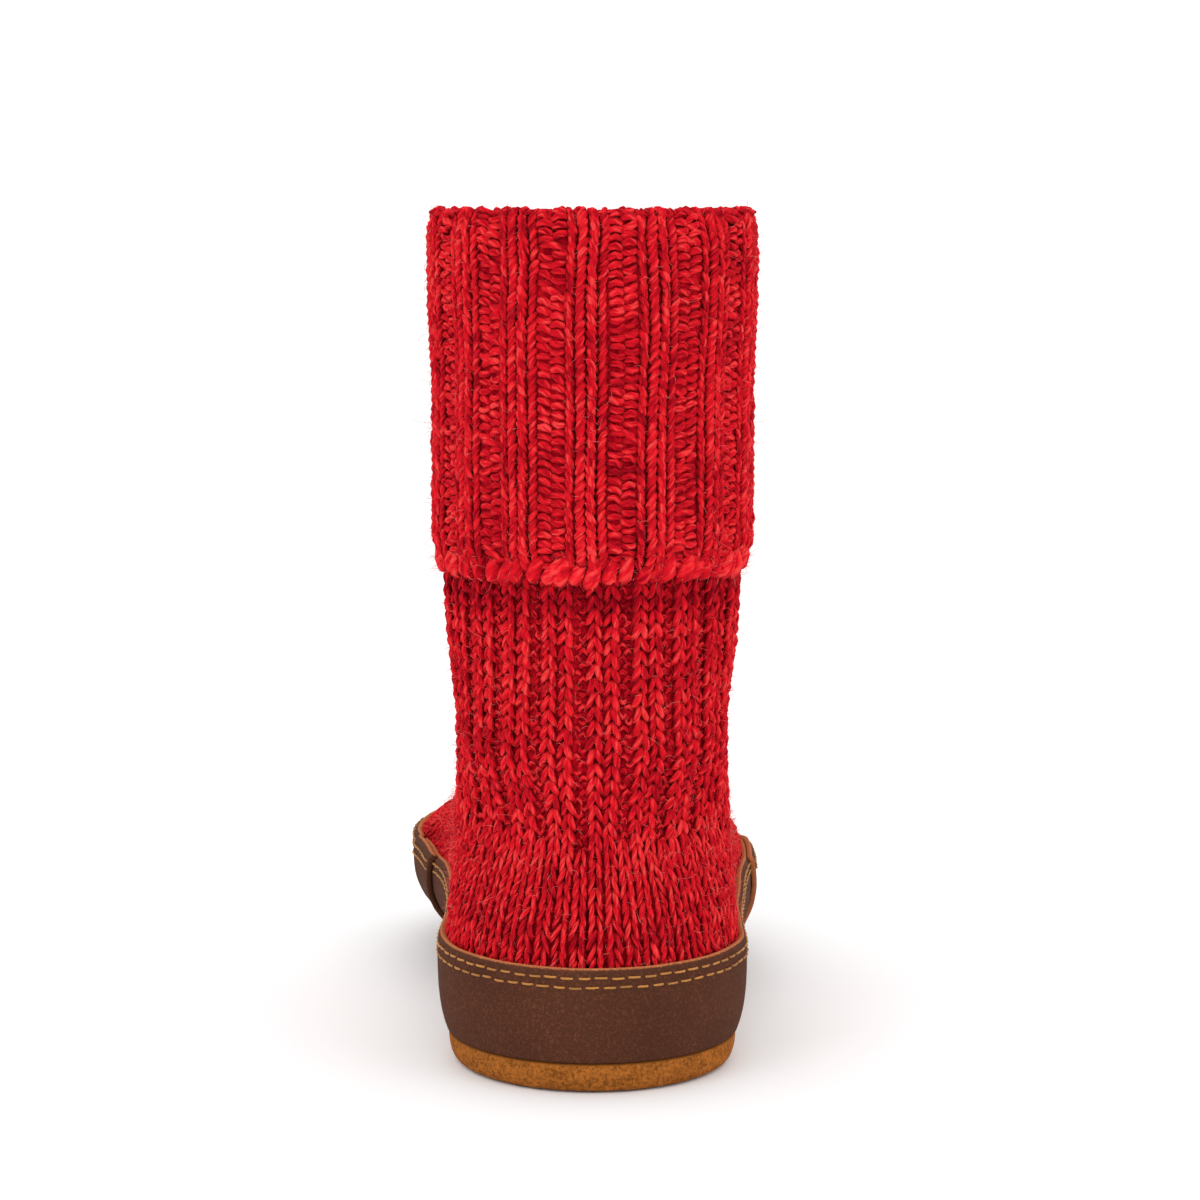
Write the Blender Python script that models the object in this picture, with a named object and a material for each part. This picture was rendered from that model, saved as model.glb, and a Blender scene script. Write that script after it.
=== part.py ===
"""Slipper sock for the right foot: a sock knitted whole in thick wool, with a ribbed shaft and a
turned-down cuff, on a soft leather sole. Two leather rands, one round the heel and one round the
toes, cover the foot of the sock down to the sole.

Metres. The toe points to +Y, +X is the outer side of the foot, and the sole stands on Z = 0.
Inside the script Y runs from the back of the heel, and X from the middle of the heel.
"""

from collections import namedtuple

import bmesh
import bpy
import numpy as np

# Foot, measured over the rands
FOOT_LENGTH = 0.255
HEEL_WIDTH = 0.0822
BALL_WIDTH = 0.0995
HEEL_ROUND = 0.042
TOE_TURN = 0.009

# Heights above the floor
ANKLE_HEIGHT = 0.086
THROAT_HEIGHT = 0.097
FOLD_HEIGHT = 0.216
COLLAR_HEIGHT = 0.2245
CUFF_EDGE_HEIGHT = 0.1305

# Ankle and shaft, on the outside of the knit
ANKLE_WIDTH = 0.0724
ANKLE_INSET = 0.0088
THROAT_REACH = 0.109
SHAFT_WIDTH = 0.0806
SHAFT_DEPTH = 0.0845

# Walls and layers
KNIT_WALL = 0.003
CUFF_WALL = 0.003
CUFF_GAP = 0.0005
RAND_THICKNESS = 0.0016
INSOLE_THICKNESS = 0.005
SOLE_THICKNESS = 0.008
GAP = 0.0003

# How far the foot tucks in above the sole: at the heel, and inside and outside of the ball
HEEL_TUCK = 0.0024
INNER_BALL_TUCK = 0.0125
OUTER_BALL_TUCK = 0.0058

# Sole
SOLE_LEDGE = 0.0005
SOLE_EDGE_ROUND = 0.0026
SOLE_EDGE_HEIGHT = 0.0065
ARCH_LIFT = 0.0015
TOE_SPRING = 0.005

# Shares of the foot's length over which the arch and the toe spring run
ARCH_FROM = 0.36
ARCH_TO = 0.56
SPRING_FROM = 0.80

# Rands: heights of the top edge above the floor, the places of these heights as shares of the
# last's length, and where the two rands overlap
RAND_HEIGHT_HEEL = 0.033
RAND_HEIGHT_BALL = 0.0365
RAND_HEIGHT_TOE = 0.0365
RAND_HEIGHT_PLACES = (0.0, 0.3, 0.62, 1.0)
TOE_RAND_FROM = 0.150
RAND_OVERLAP = 0.014
RAND_LAP_GAP = 0.0005
RAND_STEP = 0.008
RAND_END_SLANT = 0.016

# How finely the forms are divided
SIDE_COLUMNS = 24
COLUMN_SPACING = 0.05
FOLD_STEPS = 6

# Outline of the foot from above: a station's place along the foot, how far it has gone from the
# heel's width to the ball's, and its inner and outer half widths as shares of half that width
Station = namedtuple("Station", "name along to_ball inner outer")
PLAN = (
    Station("back", 0.00, 0.00, 0.99, 0.99),
    Station("heel", 0.18, 0.00, 1.00, 1.00),
    Station("heel_front", 0.30, 0.20, 0.92, 0.97),
    Station("waist", 0.42, 0.50, 0.87, 0.98),
    Station("outer_ball", 0.58, 0.90, 0.915, 1.01),
    Station("inner_ball", 0.72, 1.00, 0.995, 0.99),
    Station("toes", 0.85, 1.00, 0.96, 0.92),
    Station("tip", 1.00, 1.00, 0.88, 0.84),
)

# Rings round the foot, from the sole to the ankle. Rises are shares of the ankle's and the
# throat's height over the sole, tucks of the tuck at the heel and the ball, back_in of
# ANKLE_INSET. narrow runs from the heel's width to the ankle's, inner and outer are shares of
# half the ball's width, reach runs from the throat to the toe, and round_from is where along
# the ring its front begins to close
FootRing = namedtuple(
    "FootRing",
    "name back_rise front_rise heel_tuck ball_tuck back_in narrow inner outer reach round_from",
)
FOOT_RINGS = (
    FootRing("feather", 0.000, 0.000, 1.00, 1.00, 0.00, 0.00, 1.00, 1.00, 1.000, 0.78),
    FootRing("turn", 0.040, 0.036, 0.60, 0.80, 0.00, 0.00, 1.00, 1.00, 1.000, 0.78),
    FootRing("low_side", 0.098, 0.086, 0.25, 0.56, 0.00, 0.00, 1.00, 1.00, 1.000, 0.78),
    FootRing("side", 0.170, 0.149, 0.05, 0.14, 0.00, 0.00, 1.00, 1.00, 1.000, 0.78),
    FootRing("widest", 0.245, 0.212, 0.00, 0.00, 0.01, 0.00, 1.01, 1.00, 1.000, 0.77),
    FootRing("rand_top", 0.325, 0.285, 0.00, 0.00, 0.03, 0.10, 1.02, 0.99, 0.991, 0.75),
    FootRing("toe_top", 0.400, 0.368, 0.00, 0.00, 0.08, 0.30, 0.97, 0.96, 0.938, 0.67),
    FootRing("toes", 0.485, 0.450, 0.00, 0.00, 0.16, 0.50, 0.95, 0.92, 0.792, 0.50),
    FootRing("ball", 0.575, 0.520, 0.00, 0.00, 0.27, 0.68, 1.02, 0.92, 0.620, 0.43),
    FootRing("instep", 0.665, 0.600, 0.00, 0.00, 0.42, 0.84, 1.00, 0.96, 0.440, 0.40),
    FootRing("high_instep", 0.755, 0.708, 0.00, 0.00, 0.62, 0.95, 1.00, 1.00, 0.272, 0.40),
    FootRing("throat", 0.870, 0.850, 0.00, 0.00, 0.84, 1.00, 1.00, 1.00, 0.118, 0.42),
    FootRing("ankle", 1.000, 1.000, 0.00, 0.00, 1.00, 1.00, 1.00, 1.00, 0.000, 0.45),
)

# Rings up the shaft. rise runs from the ankle to the fold of the cuff, tilt is a share of the
# ankle ring's own tilt, widen runs from the ankle's width to the shaft's, back_in is a share of
# ANKLE_INSET and lean runs from the shaft's front to the throat
ShaftRing = namedtuple("ShaftRing", "name rise tilt widen back_in lean")
SHAFT_RINGS = (
    ShaftRing("above_ankle", 0.100, 1.00, 0.36, 1.02, 0.36),
    ShaftRing("calf", 0.215, 0.70, 0.66, 0.88, 0.08),
    ShaftRing("under_cuff", 0.340, 0.35, 0.76, 0.74, -0.02),
    ShaftRing("cuff_low", 0.500, 0.10, 0.74, 0.68, -0.02),
    ShaftRing("cuff_mid", 0.700, 0.00, 0.74, 0.62, 0.00),
    ShaftRing("cuff_high", 0.870, 0.00, 0.96, 0.60, 0.00),
    ShaftRing("fold", 1.000, 0.00, 1.00, 0.60, 0.00),
)

# Lower edge of the cuff, as shares: up of the height over which it rounds, out of its wall
CUFF_EDGE_ROUND = 0.0095
EdgePoint = namedtuple("EdgePoint", "up out")
CUFF_EDGE = (
    EdgePoint(0.06, 0.00),
    EdgePoint(0.00, 0.08),
    EdgePoint(0.24, 0.24),
    EdgePoint(0.60, 0.62),
    EdgePoint(1.00, 1.00),
)

# Materials: linear base colour, roughness
WOOL = ("red wool", (0.55, 0.012, 0.020), 0.9)
NUBUCK = ("brown nubuck", (0.095, 0.036, 0.024), 0.85)
SUEDE = ("tan suede", (0.40, 0.16, 0.045), 0.9)
FOOTBED = ("footbed felt", (0.45, 0.36, 0.27), 0.95)

# Rows of a rand below its top edge, the least share of a ring between two of them, and how
# far a rand's outside stands off the knit
RAND_ROWS = 5
RAND_ROW_LEAST = 0.05
RAND_STACK = GAP + RAND_THICKNESS
FEATHER_HEIGHT = SOLE_THICKNESS + GAP


def smooth_between(places, values, at):
    """A smooth curve through values at places in rising order, with no overshoot between them."""
    places = np.asarray(places, float)
    values = np.asarray(values, float)
    runs = np.diff(places)
    rates = np.diff(values) / runs
    slopes = np.zeros_like(values)
    same = rates[1:] * rates[:-1] > 0
    both = np.where(same, rates[1:] + rates[:-1], 1.0)
    slopes[1:-1] = np.where(same, 2 * rates[1:] * rates[:-1] / both, 0.0)
    slopes[0], slopes[-1] = rates[0], rates[-1]
    at = np.clip(at, places[0], places[-1])
    i = np.clip(np.searchsorted(places, at, side="right") - 1, 0, len(places) - 2)
    t = (at - places[i]) / runs[i]
    start = (1 + 2 * t) * (1 - t) ** 2 * values[i] + t * (1 - t) ** 2 * runs[i] * slopes[i]
    end = t * t * (3 - 2 * t) * values[i + 1] + t * t * (t - 1) * runs[i] * slopes[i + 1]
    return start + end


def ring_table():
    """The rings from the feather line to the fold, in metres, one row a ring."""
    heel_back = RAND_STACK
    toe = FOOT_LENGTH - RAND_STACK
    heel_half = HEEL_WIDTH / 2 - RAND_STACK
    ball_half = BALL_WIDTH / 2 - RAND_STACK
    ankle_half = ANKLE_WIDTH / 2
    shaft_half = SHAFT_WIDTH / 2
    tilt = THROAT_HEIGHT - ANKLE_HEIGHT
    shaft_front = heel_back + SHAFT_RINGS[-1].back_in * ANKLE_INSET + SHAFT_DEPTH
    rows = []
    for r in FOOT_RINGS:
        rows.append((
            FEATHER_HEIGHT + r.back_rise * (ANKLE_HEIGHT - FEATHER_HEIGHT),
            FEATHER_HEIGHT + r.front_rise * (THROAT_HEIGHT - FEATHER_HEIGHT),
            heel_back + r.heel_tuck * HEEL_TUCK + r.back_in * ANKLE_INSET,
            THROAT_REACH + r.reach * (toe - THROAT_REACH) - r.ball_tuck * OUTER_BALL_TUCK,
            heel_half + r.narrow * (ankle_half - heel_half) - r.heel_tuck * HEEL_TUCK,
            r.inner * ball_half - r.ball_tuck * INNER_BALL_TUCK,
            r.outer * ball_half - r.ball_tuck * OUTER_BALL_TUCK,
            r.round_from,
        ))
    for r in SHAFT_RINGS:
        back = ANKLE_HEIGHT + r.rise * (FOLD_HEIGHT - ANKLE_HEIGHT)
        rows.append((
            back,
            back + r.tilt * tilt,
            heel_back + r.back_in * ANKLE_INSET,
            shaft_front + r.lean * (THROAT_REACH - shaft_front),
            ankle_half + r.widen * (shaft_half - ankle_half),
            ball_half,
            ball_half,
            0.5,
        ))
    return np.array(rows)


RINGS = ring_table()
LAST_RING = len(RINGS) - 1
NAMES = [r.name for r in FOOT_RINGS] + [r.name for r in SHAFT_RINGS]


def surface(level, angle):
    """Points on the outside of the knit. level counts the rings upwards, and angle runs round
    them from the back of the heel over the inner side to the toe and back over the outer side."""
    level, angle = np.broadcast_arrays(np.asarray(level, float), np.asarray(angle, float))
    order = np.arange(len(RINGS))
    back_z, front_z, back_y, front_y, heel_half, inner_half, outer_half, round_from = (
        smooth_between(order, RINGS[:, k], level) for k in range(RINGS.shape[1])
    )
    share = (1 - np.cos(angle)) / 2
    y = back_y + share * (front_y - back_y)
    z = back_z + share * (front_z - back_z)
    along = y / FOOT_LENGTH
    stations = [p.along for p in PLAN]
    to_ball = smooth_between(stations, [p.to_ball for p in PLAN], along)
    on_inner = np.sin(angle) >= 0
    ball_half = np.where(on_inner, inner_half, outer_half)
    plan = np.where(
        on_inner,
        smooth_between(stations, [p.inner for p in PLAN], along),
        smooth_between(stations, [p.outer for p in PLAN], along),
    )
    half = plan * (heel_half + to_ball * (ball_half - heel_half))
    back_share = np.minimum(HEEL_ROUND / (front_y - back_y), round_from)
    behind = np.clip(1 - share / back_share, 0, 1)
    ahead = np.clip((share - round_from) / (1 - round_from), 0, 1)
    closing = np.sqrt(np.maximum(1 - behind ** 2, 0)) * np.sqrt(np.maximum(1 - ahead ** 2, 0))
    middle = -TOE_TURN * along ** 2
    x = middle - np.sign(np.sin(angle)) * half * closing
    return np.stack([x, y, z], axis=-1)


def outward(level, angle, level_normal=False):
    """Unit normals of the knit's outside, parallel to the floor where level_normal is set."""
    small = 1e-3
    low = np.maximum(level - small, 0)
    high = np.minimum(level + small, LAST_RING)
    along_ring = surface(level, angle + small) - surface(level, angle - small)
    upwards = surface(high, angle) - surface(low, angle)
    if level_normal:
        upwards = np.zeros_like(upwards) + (0.0, 0.0, 1.0)
    normal = np.cross(upwards, along_ring)
    return normal / np.linalg.norm(normal, axis=-1, keepdims=True)


def offset(level, angle, out, level_normal=False):
    """Points off the knit's outside by out, which is negative inwards."""
    return surface(level, angle) + out[..., None] * outward(level, angle, level_normal)


def lift(y):
    """How far the arch and the toe spring raise the sole and what stands on it."""
    along = y / FOOT_LENGTH
    arch = np.clip((along - ARCH_FROM) / (ARCH_TO - ARCH_FROM), 0, 1)
    spring = np.maximum((along - SPRING_FROM) / (1 - SPRING_FROM), 0)
    return ARCH_LIFT * np.sin(np.pi * arch) ** 2 + TOE_SPRING * spring ** 2


def level_at(height, angle):
    """The level at which the knit's outside has this height, for each angle."""
    low = np.zeros_like(angle)
    high = np.full_like(angle, LAST_RING)
    for _ in range(40):
        middle = (low + high) / 2
        below = surface(middle, angle)[..., 2] < height
        low = np.where(below, middle, low)
        high = np.where(below, high, middle)
    return (low + high) / 2


def angle_at(y):
    """The angle on the inner side at which the feather line has this distance from the heel."""
    back, front = RINGS[0, 2], RINGS[0, 3]
    return float(np.arccos(1 - 2 * (y - back) / (front - back)))


RAND_ENDS = [angle_at(TOE_RAND_FROM), angle_at(TOE_RAND_FROM + RAND_OVERLAP)]
RAND_ENDS.append(angle_at(TOE_RAND_FROM + RAND_OVERLAP + RAND_STEP))


def column_angles():
    """Angles of the columns that all pieces share, once round from the heel."""
    even = np.linspace(0, np.pi, SIDE_COLUMNS + 1)
    kept = [a for a in even if all(abs(a - e) > COLUMN_SPACING for e in RAND_ENDS)]
    side = np.array(sorted(kept + RAND_ENDS))
    return np.concatenate([side, 2 * np.pi - side[-2:0:-1]])


ANGLES = column_angles()


def add_mesh(name, points, faces, collection, material, frame):
    """A closed body from its points and faces, with its faces pointing out."""
    mesh = bpy.data.meshes.new(name)
    mesh.from_pydata([tuple(p) for p in points], [], faces)
    body = bmesh.new()
    body.from_mesh(mesh)
    bmesh.ops.recalc_face_normals(body, faces=body.faces)
    if body.calc_volume(signed=True) < 0:
        bmesh.ops.reverse_faces(body, faces=body.faces)
    body.to_mesh(mesh)
    body.free()
    mesh.shade_smooth()
    mesh.set_sharp_from_angle(angle=np.radians(40))
    mesh.materials.append(material)
    thing = bpy.data.objects.new(name, mesh)
    collection.objects.link(thing)
    thing.parent = frame
    return thing


def band_faces(points, closed_rows, closed_columns):
    """Triangles over a grid of points that is numbered row by row. Each cell is split from its
    lower point to the next column's upper one, so that layers on each other split alike."""
    rows, columns = points.shape[:2]
    faces = []
    for r in range(rows if closed_rows else rows - 1):
        r2 = (r + 1) % rows
        for c in range(columns if closed_columns else columns - 1):
            c2 = (c + 1) % columns
            a, b = r * columns + c, r * columns + c2
            d, e = r2 * columns + c, r2 * columns + c2
            if points[r2, c, 2] >= points[r, c, 2]:
                faces += [(a, b, e), (a, e, d)]
            else:
                faces += [(a, b, d), (b, e, d)]
    return faces


def cap_faces(first, columns):
    """Strips across a ring from its inner side to its outer side, from heel to toe."""
    half = columns // 2
    faces = []
    for c in range(half):
        left, left2 = first + c, first + c + 1
        right, right2 = first + (columns - c) % columns, first + (columns - c - 1) % columns
        if c == 0:
            faces.append((left, left2, right2))
        elif c == half - 1:
            faces.append((left, left2, right))
        else:
            faces.append((left, left2, right2, right))
    return faces


def rand_height(angle):
    """Height of the rand's top edge over the floor, from heel to toe."""
    halfway = (RAND_HEIGHT_HEEL + RAND_HEIGHT_BALL) / 2
    heights = (RAND_HEIGHT_HEEL, halfway, RAND_HEIGHT_BALL, RAND_HEIGHT_TOE)
    return smooth_between(RAND_HEIGHT_PLACES, heights, (1 - np.cos(angle)) / 2)


def rand_level(row, angle):
    """Level of a rand's row at each angle: the knit's own rings, closed up to the top edge."""
    top = level_at(rand_height(angle), angle)
    if row == RAND_ROWS:
        return top
    return np.minimum(row, top - (RAND_ROWS - row) * RAND_ROW_LEAST)


def knit_profile():
    """The knit's closed section as (levels, out) pairs, with a level for each column: up the
    outside, into the cleft behind the cuff, down to the cuff's edge and up to the fold."""
    flat = np.ones_like(ANGLES)
    first_ring = NAMES.index("under_cuff") + 1
    covered = [k * flat for k in range(first_ring, LAST_RING)]
    profile = [(rand_level(row, ANGLES), 0.0) for row in range(RAND_ROWS + 1)]
    profile += [(k * flat, 0.0) for k in range(RAND_ROWS + 1, LAST_RING)]
    profile.append(((LAST_RING - 0.15) * flat, CUFF_GAP / 2))
    profile += [(levels, CUFF_GAP) for levels in reversed(covered)]
    for p in CUFF_EDGE:
        levels = level_at(CUFF_EDGE_HEIGHT + p.up * CUFF_EDGE_ROUND, ANGLES)
        profile.append((levels, CUFF_GAP + p.out * CUFF_WALL))
    profile += [(levels, CUFF_GAP + CUFF_WALL) for levels in covered]
    return profile


def make_knit(collection, material, frame):
    """Foot, shaft and turned-down cuff in one hollow solid, open at the collar and below."""
    flat = np.ones_like(ANGLES)
    rows = [offset(levels, ANGLES, out * flat) for levels, out in knit_profile()]
    half_fold = (CUFF_GAP + CUFF_WALL + KNIT_WALL) / 2
    for turn in np.linspace(0, np.pi, FOLD_STEPS + 1):
        out = half_fold * (1 + np.cos(turn)) - KNIT_WALL
        row = offset(LAST_RING * flat, ANGLES, out * flat, level_normal=True)
        row[:, 2] += (COLLAR_HEIGHT - FOLD_HEIGHT) * np.sin(turn)
        rows.append(row)
    for k in range(LAST_RING - 1, 0, -1):
        rows.append(offset(k * flat, ANGLES, -KNIT_WALL * flat))
    rows.append(offset(0 * flat, ANGLES, -KNIT_WALL * flat, level_normal=True))
    points = np.array(rows)
    points[..., 2] += lift(points[..., 1])
    faces = band_faces(points, True, True)
    return add_mesh("knit_upper", points.reshape(-1, 3), faces, collection, material, frame)


def make_rand(name, angles, slant, step, collection, material, frame):
    """A leather strip round part of the foot. Each column has its angle, how far it turns from
    bottom to top, and how far it stands out over the other rand's end."""
    rows = []
    for base, upward in ((RAND_STACK, 1), (GAP, -1)):
        for row in range(RAND_ROWS + 1)[::upward]:
            turned = angles + slant * row / RAND_ROWS
            levels = rand_level(row, turned)
            rows.append(offset(levels, turned, base + step, level_normal=row == 0))
    points = np.array(rows)
    points[..., 2] += lift(points[..., 1])
    count, columns = points.shape[:2]
    faces = band_faces(points, True, False)
    for column in (0, columns - 1):
        for row in range(RAND_ROWS):
            ends = (row, row + 1, count - 2 - row, count - 1 - row)
            faces.append(tuple(r * columns + column for r in ends))
    return add_mesh(name, points.reshape(-1, 3), faces, collection, material, frame)


def make_rands(collection, material, frame):
    """The heel rand, and the toe rand whose slanted ends lie over it."""
    toe_from, heel_to, level_again = RAND_ENDS
    small = 1e-6
    outer_side = ANGLES[ANGLES >= 2 * np.pi - heel_to - small] - 2 * np.pi
    round_heel = np.concatenate([outer_side, ANGLES[ANGLES <= heel_to + small]])
    plain = np.zeros_like(round_heel)
    make_rand("heel_rand", round_heel, plain, plain, collection, material, frame)

    covered = (ANGLES >= toe_from - small) & (ANGLES <= 2 * np.pi - toe_from + small)
    round_toe = ANGLES[covered]
    from_heel = np.minimum(round_toe, 2 * np.pi - round_toe)
    share = np.clip((level_again - from_heel) / (level_again - heel_to), 0, 1)
    slant = np.zeros_like(round_toe)
    slant[:2] = -RAND_END_SLANT / (FOOT_LENGTH / 2) * np.array((1.0, 0.5))
    slant[-2:] = -slant[1::-1]
    step = (RAND_THICKNESS + RAND_LAP_GAP) * share
    make_rand("toe_rand", round_toe, slant, step, collection, material, frame)


def make_slab(name, sections, collection, material, frame):
    """A flat piece from rings of (height, out), top to bottom, off the feather line."""
    flat = np.ones_like(ANGLES)
    rows = []
    for height, out in sections:
        row = offset(0 * flat, ANGLES, out * flat, level_normal=True)
        row[:, 2] = height + lift(row[:, 1])
        rows.append(row)
    points = np.array(rows)
    count, columns = points.shape[:2]
    faces = band_faces(points, False, True)
    faces += cap_faces(0, columns) + cap_faces((count - 1) * columns, columns)
    return add_mesh(name, points.reshape(-1, 3), faces, collection, material, frame)


def make_sole(collection, material, frame):
    """The outsole, which draws in below its top edge in a quarter round."""
    edge = RAND_STACK - SOLE_LEDGE
    small = (SOLE_THICKNESS - SOLE_EDGE_HEIGHT) / 2
    sections = [(SOLE_THICKNESS, edge - small), (SOLE_THICKNESS - small, edge)]
    for turn in np.radians((0, 30, 55, 75, 90)):
        sections.append((SOLE_EDGE_HEIGHT * (1 - np.sin(turn)),
                         edge - SOLE_EDGE_ROUND * (1 - np.cos(turn))))
    make_slab("sole", sections, collection, material, frame)


def make_insole(collection, material, frame):
    """The footbed, lying on the sole inside the knit."""
    inside = -KNIT_WALL - GAP
    top = FEATHER_HEIGHT + INSOLE_THICKNESS
    sections = [
        (top, inside - INSOLE_THICKNESS / 3),
        (top - INSOLE_THICKNESS / 4, inside - INSOLE_THICKNESS / 12),
        (top - INSOLE_THICKNESS / 2, inside),
        (FEATHER_HEIGHT, inside),
    ]
    make_slab("insole", sections, collection, material, frame)


def make_material(name, colour, roughness):
    material = bpy.data.materials.new(name)
    material.use_nodes = True
    shader = material.node_tree.nodes["Principled BSDF"]
    shader.inputs["Base Color"].default_value = (*colour, 1.0)
    shader.inputs["Roughness"].default_value = roughness
    shader.inputs["Metallic"].default_value = 0.0
    return material


def set_on_origin(frame, things):
    """Moves the frame so that the middle of the shoe's footprint is at the origin."""
    corners = np.array([v.co for thing in things for v in thing.data.vertices])
    middle = (corners.min(axis=0) + corners.max(axis=0)) / 2
    frame.location = (-middle[0], -middle[1], -corners[:, 2].min())


def main():
    for old in list(bpy.data.objects):
        bpy.data.objects.remove(old, do_unlink=True)
    collection = bpy.data.collections.new("slipper_sock")
    bpy.context.scene.collection.children.link(collection)
    frame = bpy.data.objects.new("shoe_frame", None)
    collection.objects.link(frame)
    make_knit(collection, make_material(*WOOL), frame)
    make_rands(collection, make_material(*NUBUCK), frame)
    make_sole(collection, make_material(*SUEDE), frame)
    make_insole(collection, make_material(*FOOTBED), frame)
    set_on_origin(frame, [thing for thing in collection.objects if thing.type == "MESH"])


main()
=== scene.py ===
"""Looks of the slipper sock: stitches, wool fuzz, leather rands, thread, suede sole and footbed.

Metres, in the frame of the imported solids. The toe points to +Y and the camera looks at the heel.
The last's functions work in the shoe's own coordinates: Y from the back of the heel, X from its
middle. An angle runs round the shoe from the back over the inner side to the toe.
"""

from collections import namedtuple

import bpy
import numpy as np
from bpy.props import FloatProperty, FloatVectorProperty, IntProperty, PointerProperty
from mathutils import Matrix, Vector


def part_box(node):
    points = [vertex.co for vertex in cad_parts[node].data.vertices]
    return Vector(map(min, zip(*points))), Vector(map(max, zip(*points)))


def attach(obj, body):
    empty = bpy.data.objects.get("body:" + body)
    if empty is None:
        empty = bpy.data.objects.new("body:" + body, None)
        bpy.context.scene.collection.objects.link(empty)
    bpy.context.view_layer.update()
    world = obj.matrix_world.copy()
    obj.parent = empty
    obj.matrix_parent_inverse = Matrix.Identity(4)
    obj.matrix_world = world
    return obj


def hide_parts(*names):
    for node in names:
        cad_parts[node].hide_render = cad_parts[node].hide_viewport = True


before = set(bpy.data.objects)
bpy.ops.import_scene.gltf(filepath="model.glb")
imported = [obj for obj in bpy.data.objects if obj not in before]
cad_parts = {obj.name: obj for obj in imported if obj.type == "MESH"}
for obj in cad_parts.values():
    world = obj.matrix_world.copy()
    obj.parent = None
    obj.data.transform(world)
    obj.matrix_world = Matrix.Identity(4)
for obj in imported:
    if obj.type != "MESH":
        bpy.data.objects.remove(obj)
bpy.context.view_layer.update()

bl_info = {
    "name": "Slipper sock looks",
    "version": (1, 0, 0),
    "blender": (4, 5, 0),
    "location": "3D View > Sidebar > Slipper",
    "description": "Knits, sews and finishes a slipper sock round its packed solids",
    "category": "Object",
}

MM = 0.001

# The last and the layers on it, as the solids have them
FOOT_LENGTH = 0.255
HEEL_WIDTH = 0.0822
BALL_WIDTH = 0.0995
HEEL_ROUND = 0.042
TOE_TURN = 0.009
ANKLE_HEIGHT = 0.086
THROAT_HEIGHT = 0.097
FOLD_HEIGHT = 0.216
COLLAR_HEIGHT = 0.2245
CUFF_EDGE_HEIGHT = 0.1305
ANKLE_WIDTH = 0.0724
ANKLE_INSET = 0.0088
THROAT_REACH = 0.109
SHAFT_WIDTH = 0.0806
SHAFT_DEPTH = 0.0845
KNIT_WALL = 0.003
CUFF_WALL = 0.003
CUFF_GAP = 0.0005
CUFF_EDGE_ROUND = 0.0095
CUFF_EDGE_UP = (0.0, 0.24, 0.6, 1.0)
CUFF_EDGE_OUT = (0.08, 0.24, 0.62, 1.0)
RAND_THICKNESS = 0.0016
INSOLE_THICKNESS = 0.005
SOLE_THICKNESS = 0.008
GAP = 0.0003
HEEL_TUCK = 0.0024
INNER_BALL_TUCK = 0.0125
OUTER_BALL_TUCK = 0.0058
SOLE_LEDGE = 0.0005
SOLE_EDGE_ROUND = 0.0026
SOLE_EDGE_HEIGHT = 0.0065
ARCH_LIFT = 0.0015
TOE_SPRING = 0.005
ARCH_FROM = 0.36
ARCH_TO = 0.56
SPRING_FROM = 0.80
RAND_HEIGHT_HEEL = 0.033
RAND_HEIGHT_BALL = 0.0365
RAND_HEIGHT_TOE = 0.0365
RAND_HEIGHT_PLACES = (0.0, 0.3, 0.62, 1.0)
TOE_RAND_FROM = 0.150
RAND_OVERLAP = 0.014
RAND_STEP = 0.008
RAND_END_SLANT = 0.016
RAND_STACK = GAP + RAND_THICKNESS
FEATHER_HEIGHT = SOLE_THICKNESS + GAP

Station = namedtuple("Station", "along to_ball inner outer")
PLAN = (
    Station(0.00, 0.00, 0.99, 0.99),
    Station(0.18, 0.00, 1.00, 1.00),
    Station(0.30, 0.20, 0.92, 0.97),
    Station(0.42, 0.50, 0.87, 0.98),
    Station(0.58, 0.90, 0.915, 1.01),
    Station(0.72, 1.00, 0.995, 0.99),
    Station(0.85, 1.00, 0.96, 0.92),
    Station(1.00, 1.00, 0.88, 0.84),
)

# Rings of the foot and of the shaft, as shares of the sizes above
FootRing = namedtuple(
    "FootRing", "back_rise front_rise heel_tuck ball_tuck back_in narrow inner outer reach round_from"
)
FOOT_RINGS = (
    FootRing(0.000, 0.000, 1.00, 1.00, 0.00, 0.00, 1.00, 1.00, 1.000, 0.78),
    FootRing(0.040, 0.036, 0.60, 0.80, 0.00, 0.00, 1.00, 1.00, 1.000, 0.78),
    FootRing(0.098, 0.086, 0.25, 0.56, 0.00, 0.00, 1.00, 1.00, 1.000, 0.78),
    FootRing(0.170, 0.149, 0.05, 0.14, 0.00, 0.00, 1.00, 1.00, 1.000, 0.78),
    FootRing(0.245, 0.212, 0.00, 0.00, 0.01, 0.00, 1.01, 1.00, 1.000, 0.77),
    FootRing(0.325, 0.285, 0.00, 0.00, 0.03, 0.10, 1.02, 0.99, 0.991, 0.75),
    FootRing(0.400, 0.368, 0.00, 0.00, 0.08, 0.30, 0.97, 0.96, 0.938, 0.67),
    FootRing(0.485, 0.450, 0.00, 0.00, 0.16, 0.50, 0.95, 0.92, 0.792, 0.50),
    FootRing(0.575, 0.520, 0.00, 0.00, 0.27, 0.68, 1.02, 0.92, 0.620, 0.43),
    FootRing(0.665, 0.600, 0.00, 0.00, 0.42, 0.84, 1.00, 0.96, 0.440, 0.40),
    FootRing(0.755, 0.708, 0.00, 0.00, 0.62, 0.95, 1.00, 1.00, 0.272, 0.40),
    FootRing(0.870, 0.850, 0.00, 0.00, 0.84, 1.00, 1.00, 1.00, 0.118, 0.42),
    FootRing(1.000, 1.000, 0.00, 0.00, 1.00, 1.00, 1.00, 1.00, 0.000, 0.45),
)
ShaftRing = namedtuple("ShaftRing", "rise tilt widen back_in lean")
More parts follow.
